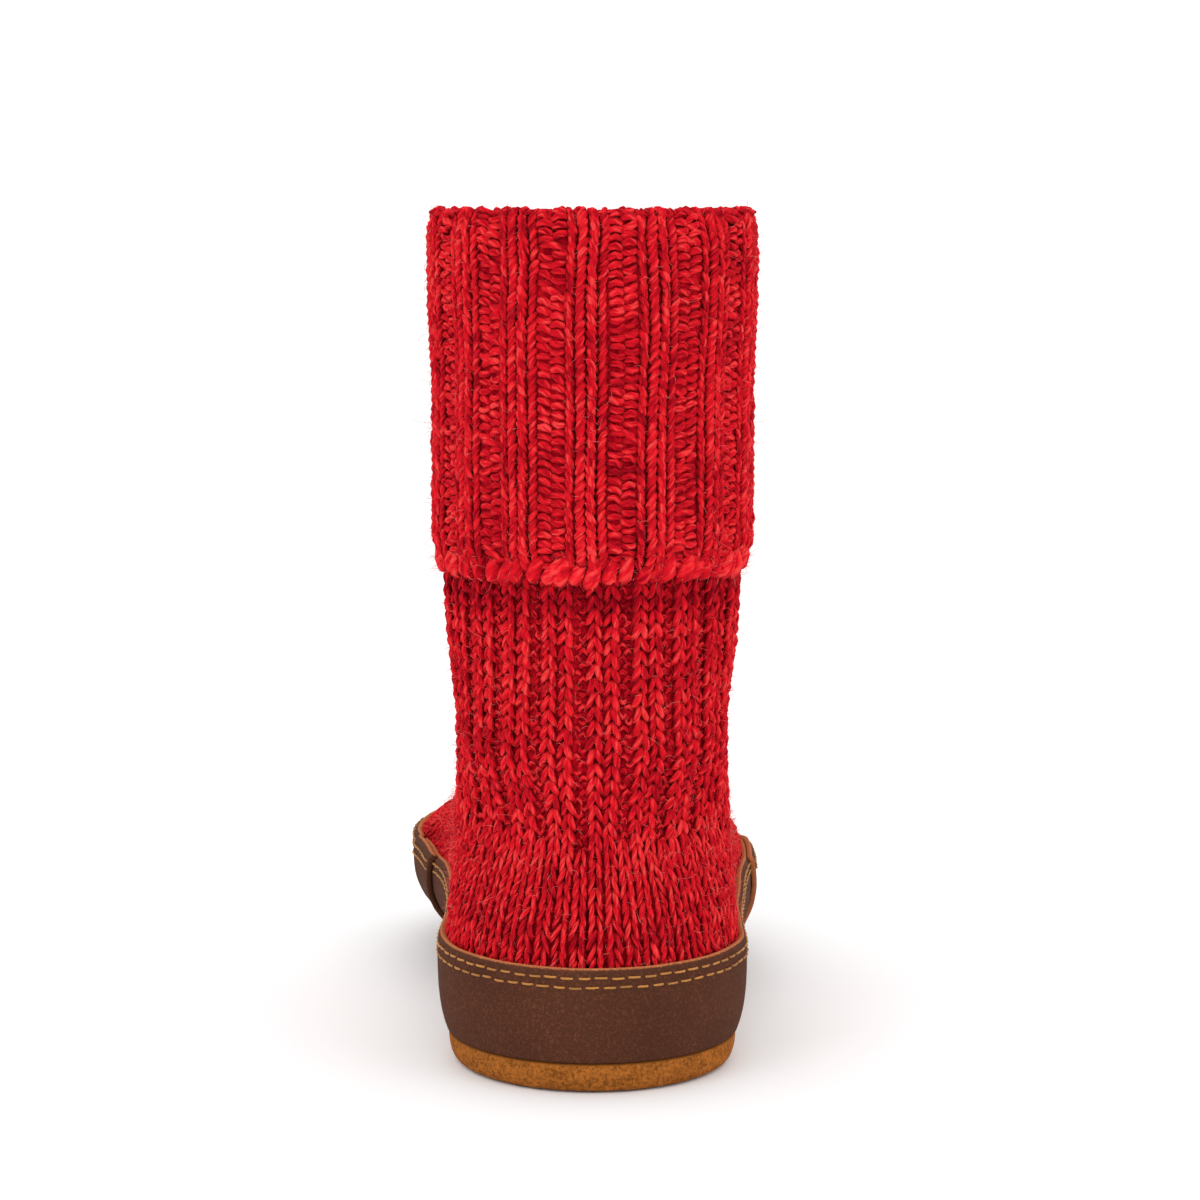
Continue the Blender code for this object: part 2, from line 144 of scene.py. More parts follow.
SHAFT_RINGS = (
    ShaftRing(0.100, 1.00, 0.36, 1.02, 0.36),
    ShaftRing(0.215, 0.70, 0.66, 0.88, 0.08),
    ShaftRing(0.340, 0.35, 0.76, 0.74, -0.02),
    ShaftRing(0.500, 0.10, 0.74, 0.68, -0.02),
    ShaftRing(0.700, 0.00, 0.74, 0.62, 0.00),
    ShaftRing(0.870, 0.00, 0.96, 0.60, 0.00),
    ShaftRing(1.000, 0.00, 1.00, 0.60, 0.00),
)
ANKLE_LEVEL = len(FOOT_RINGS) - 1

# The ribs: kind, raised side and width of each wale, and how far the ribs are turned
SEED = 11
KNIT, PURL = 1, 0
RIB_KINDS = (KNIT, KNIT, PURL)
RAISED_SIDES = (-1, 1, 0)
CUFF_REPEATS = 15
CUFF_WIDTHS = (4.9, 4.9, 6.4)
CUFF_TURN = 0.035
SHAFT_REPEATS = 21
SHAFT_WIDTHS = (4.5, 4.5, 3.3)
SHAFT_TURN = -0.026
RIB_END_LEVEL = 9.2
RIB_END_RISE = 2.0
RIB_END_SOFTNESS = 0.9
PURL_WALE_DEPTH = 0.6 * MM

# The cuff's knitting on its way over the fold and into the shaft
CUFF_RUNS = np.concatenate([np.linspace(0.035, 1, 60), np.linspace(1.04, 2, 25), np.linspace(2.05, 3, 14)])
INSIDE_LEVELS = 1.1
INSIDE_RUNS = (1.6, 2.05, 2.9)
INSIDE_LIFTS = (0.0, 0.8 * MM, -1.6 * MM)
WHOLE_PURLS = 0.15
CAST_ON_LOOPS = 62
SHADE_UNDER_CUFF = 0.013

# The wales from under the cuff to the rand, and where new ones set in
SHAFT_STEPS = 24
FOOT_STEPS = 110
UNDER_CUFF = 0.006
BEHIND_RAND_LEVELS = 0.55
WALE_PULL = 0.12
HEEL_DRIFT = 0.31
NEW_WALE_AT = 1.55
NEW_WALE_SPREAD = 0.25
NEW_WALE_WEIGHT = 0.7
STEPS_BETWEEN = 3
INSTEP_FROM = -0.15
TONE_CHANGES = 26

# The wall behind the stitches: where its parts end, as shares of its way from sole to insole
GROUND_DEPTH = 2.2 * MM
SHELL_TO = 0.34
CLEFT_TO = 0.44
CUFF_TO = 0.68
HAIR_SHARES = {"cuff_stitches": 0.3, "heel_stitches": 0.42, "instep_stitches": 0.2, "cuff_cast_on": 0.08}

# The leather
RAND_ROWS = 20
RAND_COLUMNS_ROUND = 720
RAND_EDGE_ROUND = 0.45 * MM
SEAM_ENDS = 0.11
SEAM_UNDER_STEP = 0.105


def smooth_between(places, values, at):
    """A smooth curve through values at places in rising order, with no overshoot between them."""
    places = np.asarray(places, float)
    values = np.asarray(values, float)
    runs = np.diff(places)
    rates = np.diff(values) / runs
    slopes = np.zeros_like(values)
    same = rates[1:] * rates[:-1] > 0
    both = np.where(same, rates[1:] + rates[:-1], 1.0)
    slopes[1:-1] = np.where(same, 2 * rates[1:] * rates[:-1] / both, 0.0)
    slopes[0], slopes[-1] = rates[0], rates[-1]
    at = np.clip(at, places[0], places[-1])
    i = np.clip(np.searchsorted(places, at, side="right") - 1, 0, len(places) - 2)
    t = (at - places[i]) / runs[i]
    start = (1 + 2 * t) * (1 - t) ** 2 * values[i] + t * (1 - t) ** 2 * runs[i] * slopes[i]
    end = t * t * (3 - 2 * t) * values[i + 1] + t * t * (t - 1) * runs[i] * slopes[i + 1]
    return start + end


def ring_table():
    """The rings from the feather line to the fold, in metres, one row a ring."""
    heel_back = RAND_STACK
    toe = FOOT_LENGTH - RAND_STACK
    heel_half = HEEL_WIDTH / 2 - RAND_STACK
    ball_half = BALL_WIDTH / 2 - RAND_STACK
    ankle_half = ANKLE_WIDTH / 2
    shaft_half = SHAFT_WIDTH / 2
    tilt = THROAT_HEIGHT - ANKLE_HEIGHT
    shaft_front = heel_back + SHAFT_RINGS[-1].back_in * ANKLE_INSET + SHAFT_DEPTH
    rows = []
    for r in FOOT_RINGS:
        rows.append((
            FEATHER_HEIGHT + r.back_rise * (ANKLE_HEIGHT - FEATHER_HEIGHT),
            FEATHER_HEIGHT + r.front_rise * (THROAT_HEIGHT - FEATHER_HEIGHT),
            heel_back + r.heel_tuck * HEEL_TUCK + r.back_in * ANKLE_INSET,
            THROAT_REACH + r.reach * (toe - THROAT_REACH) - r.ball_tuck * OUTER_BALL_TUCK,
            heel_half + r.narrow * (ankle_half - heel_half) - r.heel_tuck * HEEL_TUCK,
            r.inner * ball_half - r.ball_tuck * INNER_BALL_TUCK,
            r.outer * ball_half - r.ball_tuck * OUTER_BALL_TUCK,
            r.round_from,
        ))
    for r in SHAFT_RINGS:
        back = ANKLE_HEIGHT + r.rise * (FOLD_HEIGHT - ANKLE_HEIGHT)
        rows.append((
            back,
            back + r.tilt * tilt,
            heel_back + r.back_in * ANKLE_INSET,
            shaft_front + r.lean * (THROAT_REACH - shaft_front),
            ankle_half + r.widen * (shaft_half - ankle_half),
            ball_half,
            ball_half,
            0.5,
        ))
    return np.array(rows)


RINGS = ring_table()
LAST_RING = len(RINGS) - 1


def unit(vectors):
    """The vectors at a length of one."""
    return vectors / np.maximum(np.linalg.norm(vectors, axis=-1, keepdims=True), 1e-12)


def surface(level, angle):
    """Points on the outside of the knit. level counts the rings upwards from the feather line."""
    level, angle = np.broadcast_arrays(np.asarray(level, float), np.asarray(angle, float))
    order = np.arange(len(RINGS))
    back_z, front_z, back_y, front_y, heel_half, inner_half, outer_half, round_from = (
        smooth_between(order, RINGS[:, k], level) for k in range(RINGS.shape[1])
    )
    share = (1 - np.cos(angle)) / 2
    y = back_y + share * (front_y - back_y)
    z = back_z + share * (front_z - back_z)
    along = y / FOOT_LENGTH
    stations = [p.along for p in PLAN]
    to_ball = smooth_between(stations, [p.to_ball for p in PLAN], along)
    on_inner = np.sin(angle) >= 0
    ball_half = np.where(on_inner, inner_half, outer_half)
    plan = np.where(
        on_inner,
        smooth_between(stations, [p.inner for p in PLAN], along),
        smooth_between(stations, [p.outer for p in PLAN], along),
    )
    half = plan * (heel_half + to_ball * (ball_half - heel_half))
    back_share = np.minimum(HEEL_ROUND / (front_y - back_y), round_from)
    behind = np.clip(1 - share / back_share, 0, 1)
    ahead = np.clip((share - round_from) / (1 - round_from), 0, 1)
    closing = np.sqrt(np.maximum(1 - behind ** 2, 0)) * np.sqrt(np.maximum(1 - ahead ** 2, 0))
    middle = -TOE_TURN * along ** 2
    x = middle - np.sign(np.sin(angle)) * half * closing
    return np.stack([x, y, z], axis=-1)


def outward(level, angle, level_normal=False):
    """Unit normals of the knit's outside, parallel to the floor where level_normal is set."""
    small = 1e-3
    low = np.maximum(level - small, 0)
    high = np.minimum(level + small, LAST_RING)
    along_ring = surface(level, angle + small) - surface(level, angle - small)
    upwards = surface(high, angle) - surface(low, angle)
    if level_normal:
        upwards = np.zeros_like(upwards) + (0.0, 0.0, 1.0)
    return unit(np.cross(upwards, along_ring))


def offset(level, angle, out, level_normal=False):
    """Points off the knit's outside by out, which is negative inwards."""
    level, angle, out = np.broadcast_arrays(level, angle, out)
    return surface(level, angle) + out[..., None] * outward(level, angle, level_normal)


def lift(y):
    """How far the arch and the toe spring raise the sole and what stands on it."""
    along = y / FOOT_LENGTH
    arch = np.clip((along - ARCH_FROM) / (ARCH_TO - ARCH_FROM), 0, 1)
    spring = np.maximum((along - SPRING_FROM) / (1 - SPRING_FROM), 0)
    return ARCH_LIFT * np.sin(np.pi * arch) ** 2 + TOE_SPRING * spring ** 2


def level_at(height, angle):
    """The level at which the knit's outside has this height, for each angle."""
    low = np.zeros_like(angle)
    high = np.full_like(angle, LAST_RING)
    for _ in range(30):
        middle = (low + high) / 2
        below = surface(middle, angle)[..., 2] < height
        low = np.where(below, middle, low)
        high = np.where(below, high, middle)
    return (low + high) / 2


def angle_at(y):
    """The angle on the inner side at which the feather line has this distance from the heel."""
    back, front = RINGS[0, 2], RINGS[0, 3]
    return float(np.arccos(1 - 2 * (y - back) / (front - back)))


def rand_height(angle):
    """Height of the rand's top edge over the floor, from heel to toe."""
    halfway = (RAND_HEIGHT_HEEL + RAND_HEIGHT_BALL) / 2
    heights = (RAND_HEIGHT_HEEL, halfway, RAND_HEIGHT_BALL, RAND_HEIGHT_TOE)
    return smooth_between(RAND_HEIGHT_PLACES, heights, (1 - np.cos(angle)) / 2)


TABLE_ANGLES = np.linspace(0, 2 * np.pi, 721)
RAND_TOP_LEVELS = level_at(rand_height(TABLE_ANGLES), TABLE_ANGLES)
CUFF_EDGE_LEVELS = level_at(CUFF_EDGE_HEIGHT, TABLE_ANGLES)


def read_round(values, angle):
    """A value of the table above at any angle."""
    return np.interp(np.mod(angle, 2 * np.pi), TABLE_ANGLES, values)


def sole_outline(out, angle):
    """The outline of the feather line, widened by out, at floor level."""
    points = offset(0.0 * angle, angle, out, level_normal=True)
    points[..., 2] = 0
    return points


def frame_shift():
    """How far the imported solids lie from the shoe's own coordinates."""
    own = sole_outline(RAND_STACK - SOLE_LEDGE, TABLE_ANGLES)
    low, high = (np.array(corner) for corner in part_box("sole"))
    shift = (low + high) / 2 - (own.min(axis=0) + own.max(axis=0)) / 2
    shift[2] = 0.0
    return shift


SHIFT = frame_shift()


def in_frame(points):
    """Own points, raised by the arch and the toe spring and moved to where the solids are."""
    raised = np.array(points, float)
    raised[..., 2] += lift(raised[..., 1])
    return raised + SHIFT


def shell_place(level, angle):
    """The outside of shaft and foot."""
    return in_frame(surface(level, angle))


def cuff_place(run, angle):
    """The face of the cuff: up its outside for run 0 to 1, over the fold to 2, down inside to 3."""
    run, angle = np.broadcast_arrays(np.asarray(run, float), np.asarray(angle, float))
    edge = read_round(CUFF_EDGE_LEVELS, angle)
    rising = np.clip(run, -0.2, 1)
    inside = np.clip(run - 2, 0, 1)
    level = np.where(run < 1, edge + rising * (LAST_RING - edge), LAST_RING - inside * INSIDE_LEVELS)
    turn = np.pi * np.clip(run - 1, 0, 1)
    half_fold = (CUFF_GAP + CUFF_WALL + KNIT_WALL) / 2
    out = half_fold * (1 + np.cos(turn)) - KNIT_WALL
    over_edge = rising * (FOLD_HEIGHT - CUFF_EDGE_HEIGHT) / CUFF_EDGE_ROUND
    out = out - CUFF_WALL * (1 - np.interp(over_edge, CUFF_EDGE_UP, CUFF_EDGE_OUT))
    points = offset(level, angle, out, level_normal=True)
    points[..., 2] += (COLLAR_HEIGHT - FOLD_HEIGHT) * np.sin(turn)
    return in_frame(points)


# Sizes and colours that a user would change
def length(name, description, default):
    """A size in metres for the panel."""
    return FloatProperty(name=name, description=description, default=default, min=0.0,
                         precision=5, unit="LENGTH")


def colour(name, description, default):
    """A linear colour for the panel."""
    return FloatVectorProperty(name=name, description=description, default=default,
                               min=0.0, max=1.0, subtype="COLOR", size=3)


class KnitSizes(bpy.types.PropertyGroup):
    """The knitter's gauge."""
    cuff_row: length("Cuff row", "Height of a row in the cuff", 0.00222)
    shaft_row: length("Shaft row", "Height of a row in the shaft and the foot", 0.0035)
    wale: length("Foot wale", "Width of a wale in the foot", 0.0034)
    cuff_yarn: length("Cuff yarn", "Diameter of the yarn in the cuff", 0.00176)
    shaft_yarn: length("Shaft yarn", "Diameter of the yarn in the shaft", 0.00175)
    foot_yarn: length("Foot yarn", "Diameter of the yarn in the foot", 0.00134)
    rib_depth: length("Rib depth", "How deep purl wales lie behind knit ones", 0.0009)
    hairs: IntProperty(name="Hairs", description="Number of loose hairs", default=12800, min=0)
    hair_length: length("Hair length", "Usual length of a loose hair", 0.0019)
    hair_width: length("Hair width", "Thickness of a loose hair", 0.00008)


class LeatherSizes(bpy.types.PropertyGroup):
    """The rands and their seams."""
    first_row: length("First seam", "From the rand's top edge to the first seam", 0.0026)
    second_row: length("Second seam", "From the rand's top edge to the second seam", 0.0050)
    stitch_pitch: length("Stitch pitch", "From one stitch to the next", 0.0043)
    stitch_length: length("Stitch length", "Length of a stitch", 0.0034)
    thread: length("Thread", "Diameter of the thread", 0.00062)
    raw_edge: length("Raw edge", "Height of the cut edge that shows", 0.0007)


class Colours(bpy.types.PropertyGroup):
    """Linear colours of the materials."""
    wool: colour("Wool", "Lit faces of the yarn", (0.76, 0.009, 0.019))
    # Dark end of the wool: darker fibres, and painted shade between the stitches and on the strands'
    # undersides.
    wool_dark_and_shaded: colour("Wool, deep", "Yarn between the stitches", (0.17, 0.0, 0.006))
    # Pale fibres, and painted highlight on the brightest crests of the strands.
    wool_pale_and_highlight: colour("Wool, pale", "Palest fibres of the yarn", (0.90, 0.090, 0.080))
    wool_hair: colour("Hairs", "Pale loose hairs", (0.92, 0.30, 0.25))
    nubuck: colour("Nubuck", "Leather of the rands", (0.078, 0.027, 0.014))
    nubuck_red: colour("Nubuck, red", "Reddish specks in the leather", (0.17, 0.055, 0.030))
    raw_edge: colour("Raw edge", "Cut edge of the leather", (0.60, 0.19, 0.070))
    thread: colour("Thread", "Sewing thread", (0.66, 0.28, 0.066))
    suede: colour("Suede", "Leather of the sole", (0.46, 0.150, 0.026))
    felt: colour("Felt", "Footbed", (0.50, 0.40, 0.30))


class Studio(bpy.types.PropertyGroup):
    """Camera and lights."""
    lens: FloatProperty(name="Lens", description="Focal length in mm", default=104.4, min=1.0)
    distance: length("Camera distance", "From the back of the heel to the camera", 0.865)
    height: length("Camera height", "Above the floor", 0.224)
    aside: length("Camera aside", "To the right of the heel's middle", 0.0018)
    pitch: FloatProperty(name="Pitch", description="Camera's tilt downwards",
                         default=np.radians(6.4), subtype="ANGLE")
    light: FloatProperty(name="Key light", description="Power of the main light", default=4.0)
    sky: FloatProperty(name="Sky", description="Strength of the light all round", default=1.12)


class SockSettings(bpy.types.PropertyGroup):
    """All that the panel lists."""
    knit: PointerProperty(type=KnitSizes)
    leather: PointerProperty(type=LeatherSizes)
    colours: PointerProperty(type=Colours)
    studio: PointerProperty(type=Studio)


def settings():
    """The sizes and colours of this scene."""
    return bpy.context.scene.slipper_sock


class Wire:
    """An output in a material's nodes. Sums on it add Math nodes."""

    def __init__(self, finish, socket):
        self.finish = finish
        self.socket = socket

    def sum(self, operation, *values):
        return self.finish.add("ShaderNodeMath", {"operation": operation}, dict(enumerate(values)))

    def __add__(self, other):
        return self.sum("ADD", self, other)

    def __sub__(self, other):
        return self.sum("SUBTRACT", self, other)

    def __rsub__(self, other):
        return self.sum("SUBTRACT", other, self)

    def __mul__(self, other):
        return self.sum("MULTIPLY", self, other)

    __radd__ = __add__
    __rmul__ = __mul__

    def sine(self):
        return self.sum("SINE", self)

    def power(self, other):
        return self.sum("POWER", self, other)

    def between(self, low, high):
        """0 below low, 1 above high, and a smooth step between them."""
        return self.finish.add(
            "ShaderNodeMapRange", {"interpolation_type": "SMOOTHSTEP"},
            {"Value": self, "From Min": low, "From Max": high},
        )


SOCKETS = {
    "specular": "Specular IOR Level",
    "sheen": "Sheen Weight",
    "sheen_roughness": "Sheen Roughness",
}


class Finish:
    """One material, built node by node."""

    def __init__(self, name, roughness=0.9, **sockets):
        self.material = bpy.data.materials.new(name)
        self.material.use_nodes = True
        self.tree = self.material.node_tree
        self.shader = self.tree.nodes["Principled BSDF"]
        self.shader.inputs["Roughness"].default_value = roughness
        for socket, value in sockets.items():
            self.shader.inputs[SOCKETS[socket]].default_value = value

    def add(self, kind, words=None, values=None, output=0):
        """A node of this kind, with its settings and what its sockets get."""
        node = self.tree.nodes.new(kind)
        for word, value in (words or {}).items():
            setattr(node, word, value)
        for socket, value in (values or {}).items():
            self.feed(node.inputs[socket], value)
        return Wire(self, node.outputs[output])

    def feed(self, socket, value):
        if isinstance(value, Wire):
            self.tree.links.new(value.socket, socket)
        elif hasattr(value, "__len__") and len(value) == 3 and socket.type == "RGBA":
            socket.default_value = (*value, 1.0)
        else:
            socket.default_value = value

    def place(self):
        """Object coordinates."""
        return self.add("ShaderNodeTexCoord", output=3)

    def noise(self, scale, detail=2.0, roughness=0.5, at=None):
        values = {"Vector": at or self.place(), "Scale": scale, "Detail": detail, "Roughness": roughness}
        return self.add("ShaderNodeTexNoise", {}, values)

    def stretched(self, vector, scale):
        return self.add("ShaderNodeMapping", {}, {"Vector": vector, "Scale": scale})

    def mask(self, name):
        """A number that the piece's mesh carries."""
        return self.add("ShaderNodeAttribute", {"attribute_name": name}, output=2)

    def uv(self, name):
        """The piece's own map, and its two coordinates."""
        vector = self.add("ShaderNodeUVMap", {"uv_map": name})
        node = self.add("ShaderNodeSeparateXYZ", {}, {0: vector}).socket.node
        return vector, Wire(self, node.outputs[0]), Wire(self, node.outputs[1])

    def blend(self, share, first, second):
        """A colour between two others."""
        words = {"data_type": "RGBA", "blend_type": "MIX"}
        return self.add("ShaderNodeMix", words, {0: share, 6: first, 7: second}, output=2)

    def base(self, value):
        self.feed(self.shader.inputs["Base Color"], value)

    def bump(self, height, distance, strength=1.0):
        values = {"Height": height, "Distance": distance, "Strength": strength}
        self.feed(self.shader.inputs["Normal"], self.add("ShaderNodeBump", {}, values))


def shaded(tint, share):
    """A darker or brighter kind of a colour."""
    return tuple(part * share for part in tint)


def wool_finish(name, ply_turns):
    """Two-ply wool, with painted shade low on the strands and painted highlights on their brightest crests.
    The yarn map runs along and round each strand.
    """
    tints = settings().colours
    wool = Finish(name, 0.92, specular=0.02, sheen=0.05, sheen_roughness=0.5)
    wool.shader.inputs["Sheen Tint"].default_value = (1.0, 0.42, 0.36, 1.0)
    strand, along, round_it = wool.uv("yarn")
    ply = ((along * ply_turns + round_it * 2.0) * (2 * np.pi)).sine()
    askew = {"X": along * 180.0, "Y": round_it * 5.0 + along * 380.0, "Z": round_it * 1.3}
    fibres = wool.noise(1.0, 3.0, 0.62, at=wool.add("ShaderNodeCombineXYZ", {}, askew))
    marl = wool.noise(1.0, 2.0, 0.5, at=wool.stretched(strand, (230.0, 3.0, 1.0)))
    patches = wool.noise(55.0, 2.0)
    height = ply * 0.30 + fibres * 1.3
    # The depth mask is painted shade: low parts and the strands' undersides get the dark colour.
    low = wool.mask("depth").between(0.0, 0.80)
    streaks = fibres.between(0.38, 0.62) * 0.50 + marl.between(0.36, 0.64) * 0.24
    # lit sums painted light and shade (low, and the darker ply grooves) with the yarn's own tones (streaks,
    # shade, patches).
    lit = low * 0.32 + streaks + ply * 0.05 + wool.mask("shade") * 0.24 + patches * 0.3 - 0.29
    body = wool.blend(lit.between(-0.1, 1.0), tints.wool_dark_and_shaded, tints.wool)
    # Painted highlight: the brightest crests blend towards the pale colour.
    wool.base(wool.blend(lit.between(0.72, 1.15) * 0.6, body, tints.wool_pale_and_highlight))
    wool.bump(height, 0.0007, 0.9)
    return wool.material


def hair_finish():
    """Loose hairs, pale where their shade is high."""
    tints = settings().colours
    hair = Finish("wool hair", 0.8, specular=0.1)
    hair.base(hair.blend(hair.mask("shade").power(2.5), tints.wool, tints.wool_hair))
    return hair.material


def ground_finish():
    """The wool between and behind the stitches."""
    tints = settings().colours
    ground = Finish("wool ground", 0.95, specular=0.02)
    fibres = ground.noise(900.0, 4.0, 0.65)
    turn = 2 * np.pi
    wales = (ground.mask("round") * (SHAFT_REPEATS * 3 * turn)).sine()
    rows = (ground.mask("up") * turn + wales * 1.2).sine()
    # The knit pattern darkens its own low lines, which is painted shade; the fibres vary the colour as the
    # yarn does. The dark end is the dark and shaded wool.
    knit = wales * 0.35 + rows * 0.35 + 0.5
    deep = shaded(tints.wool_dark_and_shaded, 1.3)
    lit = tuple(0.9 * red + 0.1 * dark for red, dark in zip(tints.wool, tints.wool_dark_and_shaded))
    ground.base(ground.blend(fibres.between(0.3, 0.75) * 0.6 + knit * 0.4, deep, lit))
    ground.bump(fibres * 0.5 + knit, 0.0010)
    return ground.material


def nubuck_finish():
    """Brushed leather, with its cut edge and the dents of its stitches."""
    tints = settings().colours
    sizes = settings().leather
    nubuck = Finish("brown nubuck", 0.9, specular=0.08)
    strip, _, below = nubuck.uv("strip")
    grain = nubuck.noise(2600.0, 3.0, 0.7)
    specks = nubuck.noise(1300.0, 3.0, 0.75)
    cloud = nubuck.noise(45.0, 3.0)
    body = nubuck.blend(specks.between(0.45, 0.72) * 0.8, tints.nubuck, tints.nubuck_red)
    body = nubuck.blend(cloud.between(0.35, 0.75) * 0.35, body, shaded(tints.nubuck, 0.62))
    ragged = below + (specks - 0.5) * 0.0012
    cut = 1.0 - ragged.between(sizes.raw_edge * 0.6, sizes.raw_edge * 1.3)
    fibrous = nubuck.noise(1.0, 3.0, 0.6, at=nubuck.stretched(strip, (2600.0, 900.0, 1.0)))
    edge = nubuck.blend(fibrous.between(0.3, 0.7), shaded(tints.raw_edge, 0.6), tints.raw_edge)
    nubuck.base(nubuck.blend(cut, body, edge))
    nubuck.bump(grain * 0.8 + specks * 0.9 + fibrous * cut * 1.5, 0.0003, 0.8)
    return nubuck.material


def thread_finish():
    """Waxed thread of three plies."""
    tints = settings().colours
    thread = Finish("gold thread", 0.55, specular=0.25)
    _, along, round_it = thread.uv("yarn")
    ply = ((along * 900.0 + round_it * 3.0) * (2 * np.pi)).sine()
    # Each stitch has its own tone, and the ply grooves are darker, which is painted shade.
    shade = thread.mask("shade") * 0.6 + ply * 0.25 + 0.2
    dark = shaded(tints.thread, 0.55)
    thread.base(thread.blend(shade.between(0.0, 0.9), dark, tints.thread))
    thread.bump(ply, 0.00012)
    return thread.material


def suede_finish():
    """The sole's napped leather, rubbed darker in patches."""
    tints = settings().colours
    suede = Finish("tan suede", 0.95, specular=0.04)
    nap = suede.noise(1100.0, 3.0, 0.75)
    brushed = suede.noise(240.0, 4.0, 0.65)
    clouds = suede.noise(40.0, 3.0)
    dark = shaded(tints.suede, 0.36)
    body = suede.blend((nap * 0.85 + brushed * 0.35).between(0.42, 0.76), dark, tints.suede)
    body = suede.blend(clouds.between(0.4, 0.7) * 0.2, body, dark)
    ragged = suede.mask("height") + (nap - 0.5) * 0.0012
    joint = ragged.between(SOLE_THICKNESS - 0.0012, SOLE_THICKNESS - 0.0003)
    suede.base(suede.blend(joint * 0.9, body, shaded(tints.suede, 0.12)))
    suede.bump(nap * 0.9 + brushed * 0.6, 0.0006, 0.9)
    return suede.material


def felt_finish():
    """Pressed wool of the footbed."""
    tints = settings().colours
    felt = Finish("footbed felt", 0.95, specular=0.1, sheen=0.3)
    fibres = felt.noise(1.0, 5.0, 0.7, at=felt.stretched(felt.place(), (700.0, 350.0, 700.0)))
    cloud = felt.noise(60.0, 3.0)
    dark = shaded(tints.felt, 0.6)
    felt.base(felt.blend((fibres * 0.8 + cloud * 0.4).between(0.35, 0.85), dark, tints.felt))
    felt.bump(fibres, 0.0006)
    return felt.material


def deselect():
    """Nothing selected, in object mode, because operators act on all that is."""
    if bpy.context.object and bpy.context.object.mode != "OBJECT":
        bpy.ops.object.mode_set(mode="OBJECT")
    bpy.ops.object.select_all(action="DESELECT")


def select(piece):
    """This piece alone, selected and active."""
    deselect()
    piece.select_set(True)
    bpy.context.view_layer.objects.active = piece


def laid_grid(name, across, up, place):
    """A grid whose corners, at shares of its width and height, go where place says."""
    deselect()
    bpy.ops.mesh.primitive_grid_add(x_subdivisions=across, y_subdivisions=up, size=1.0,
                                    calc_uvs=False, location=(0, 0, 0))
    piece = bpy.context.object
    piece.name = name
    mesh = piece.data
    shares = np.clip(read_points(mesh)[:, :2] + 0.5, 0, 1)
    mesh.vertices.foreach_set("co", place(shares[:, 0], shares[:, 1]).ravel())
    mesh.update()
    return piece, shares


def read_points(mesh, what="co"):
    """The places or the normals of a mesh's points."""
    values = np.empty(len(mesh.vertices) * 3)
    mesh.vertices.foreach_get(what, values)
    return values.reshape(-1, 3)


def give_map(mesh, name, per_point):
    """A UV map from two numbers for each point."""
    corners = np.empty(len(mesh.loops), int)
    mesh.loops.foreach_get("vertex_index", corners)
    layer = mesh.uv_layers.new(name=name)
    layer.uv.foreach_set("vector", per_point[corners].astype(np.float32).ravel())


def give_mask(mesh, name, values):
    """A number for each point, which materials read by name."""
    mask = mesh.attributes.new(name, "FLOAT", "POINT")
    mask.data.foreach_set("value", np.asarray(values, np.float32))


def read_mask(mesh, name):
    """The numbers that give_mask has stored."""
    values = np.empty(len(mesh.vertices))
    mesh.attributes[name].data.foreach_get("value", values)
    return values


def close_body(piece, distance=1e-6):
    """Merges meeting points and turns all faces out."""
    select(piece)
    bpy.ops.object.mode_set(mode="EDIT")
    bpy.ops.mesh.select_all(action="SELECT")
    bpy.ops.mesh.remove_doubles(threshold=distance)
    bpy.ops.mesh.normals_make_consistent(inside=False)
    bpy.ops.object.mode_set(mode="OBJECT")


def finish_piece(piece, material, slot, *nodes):
    """Material and body of a piece, and the solids that it stands for, which it hides. The slot is not used.
    """
    piece.data.materials.clear()
    piece.data.materials.append(material)
    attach(piece, "root")
    if nodes:
        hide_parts(*nodes)
    return piece


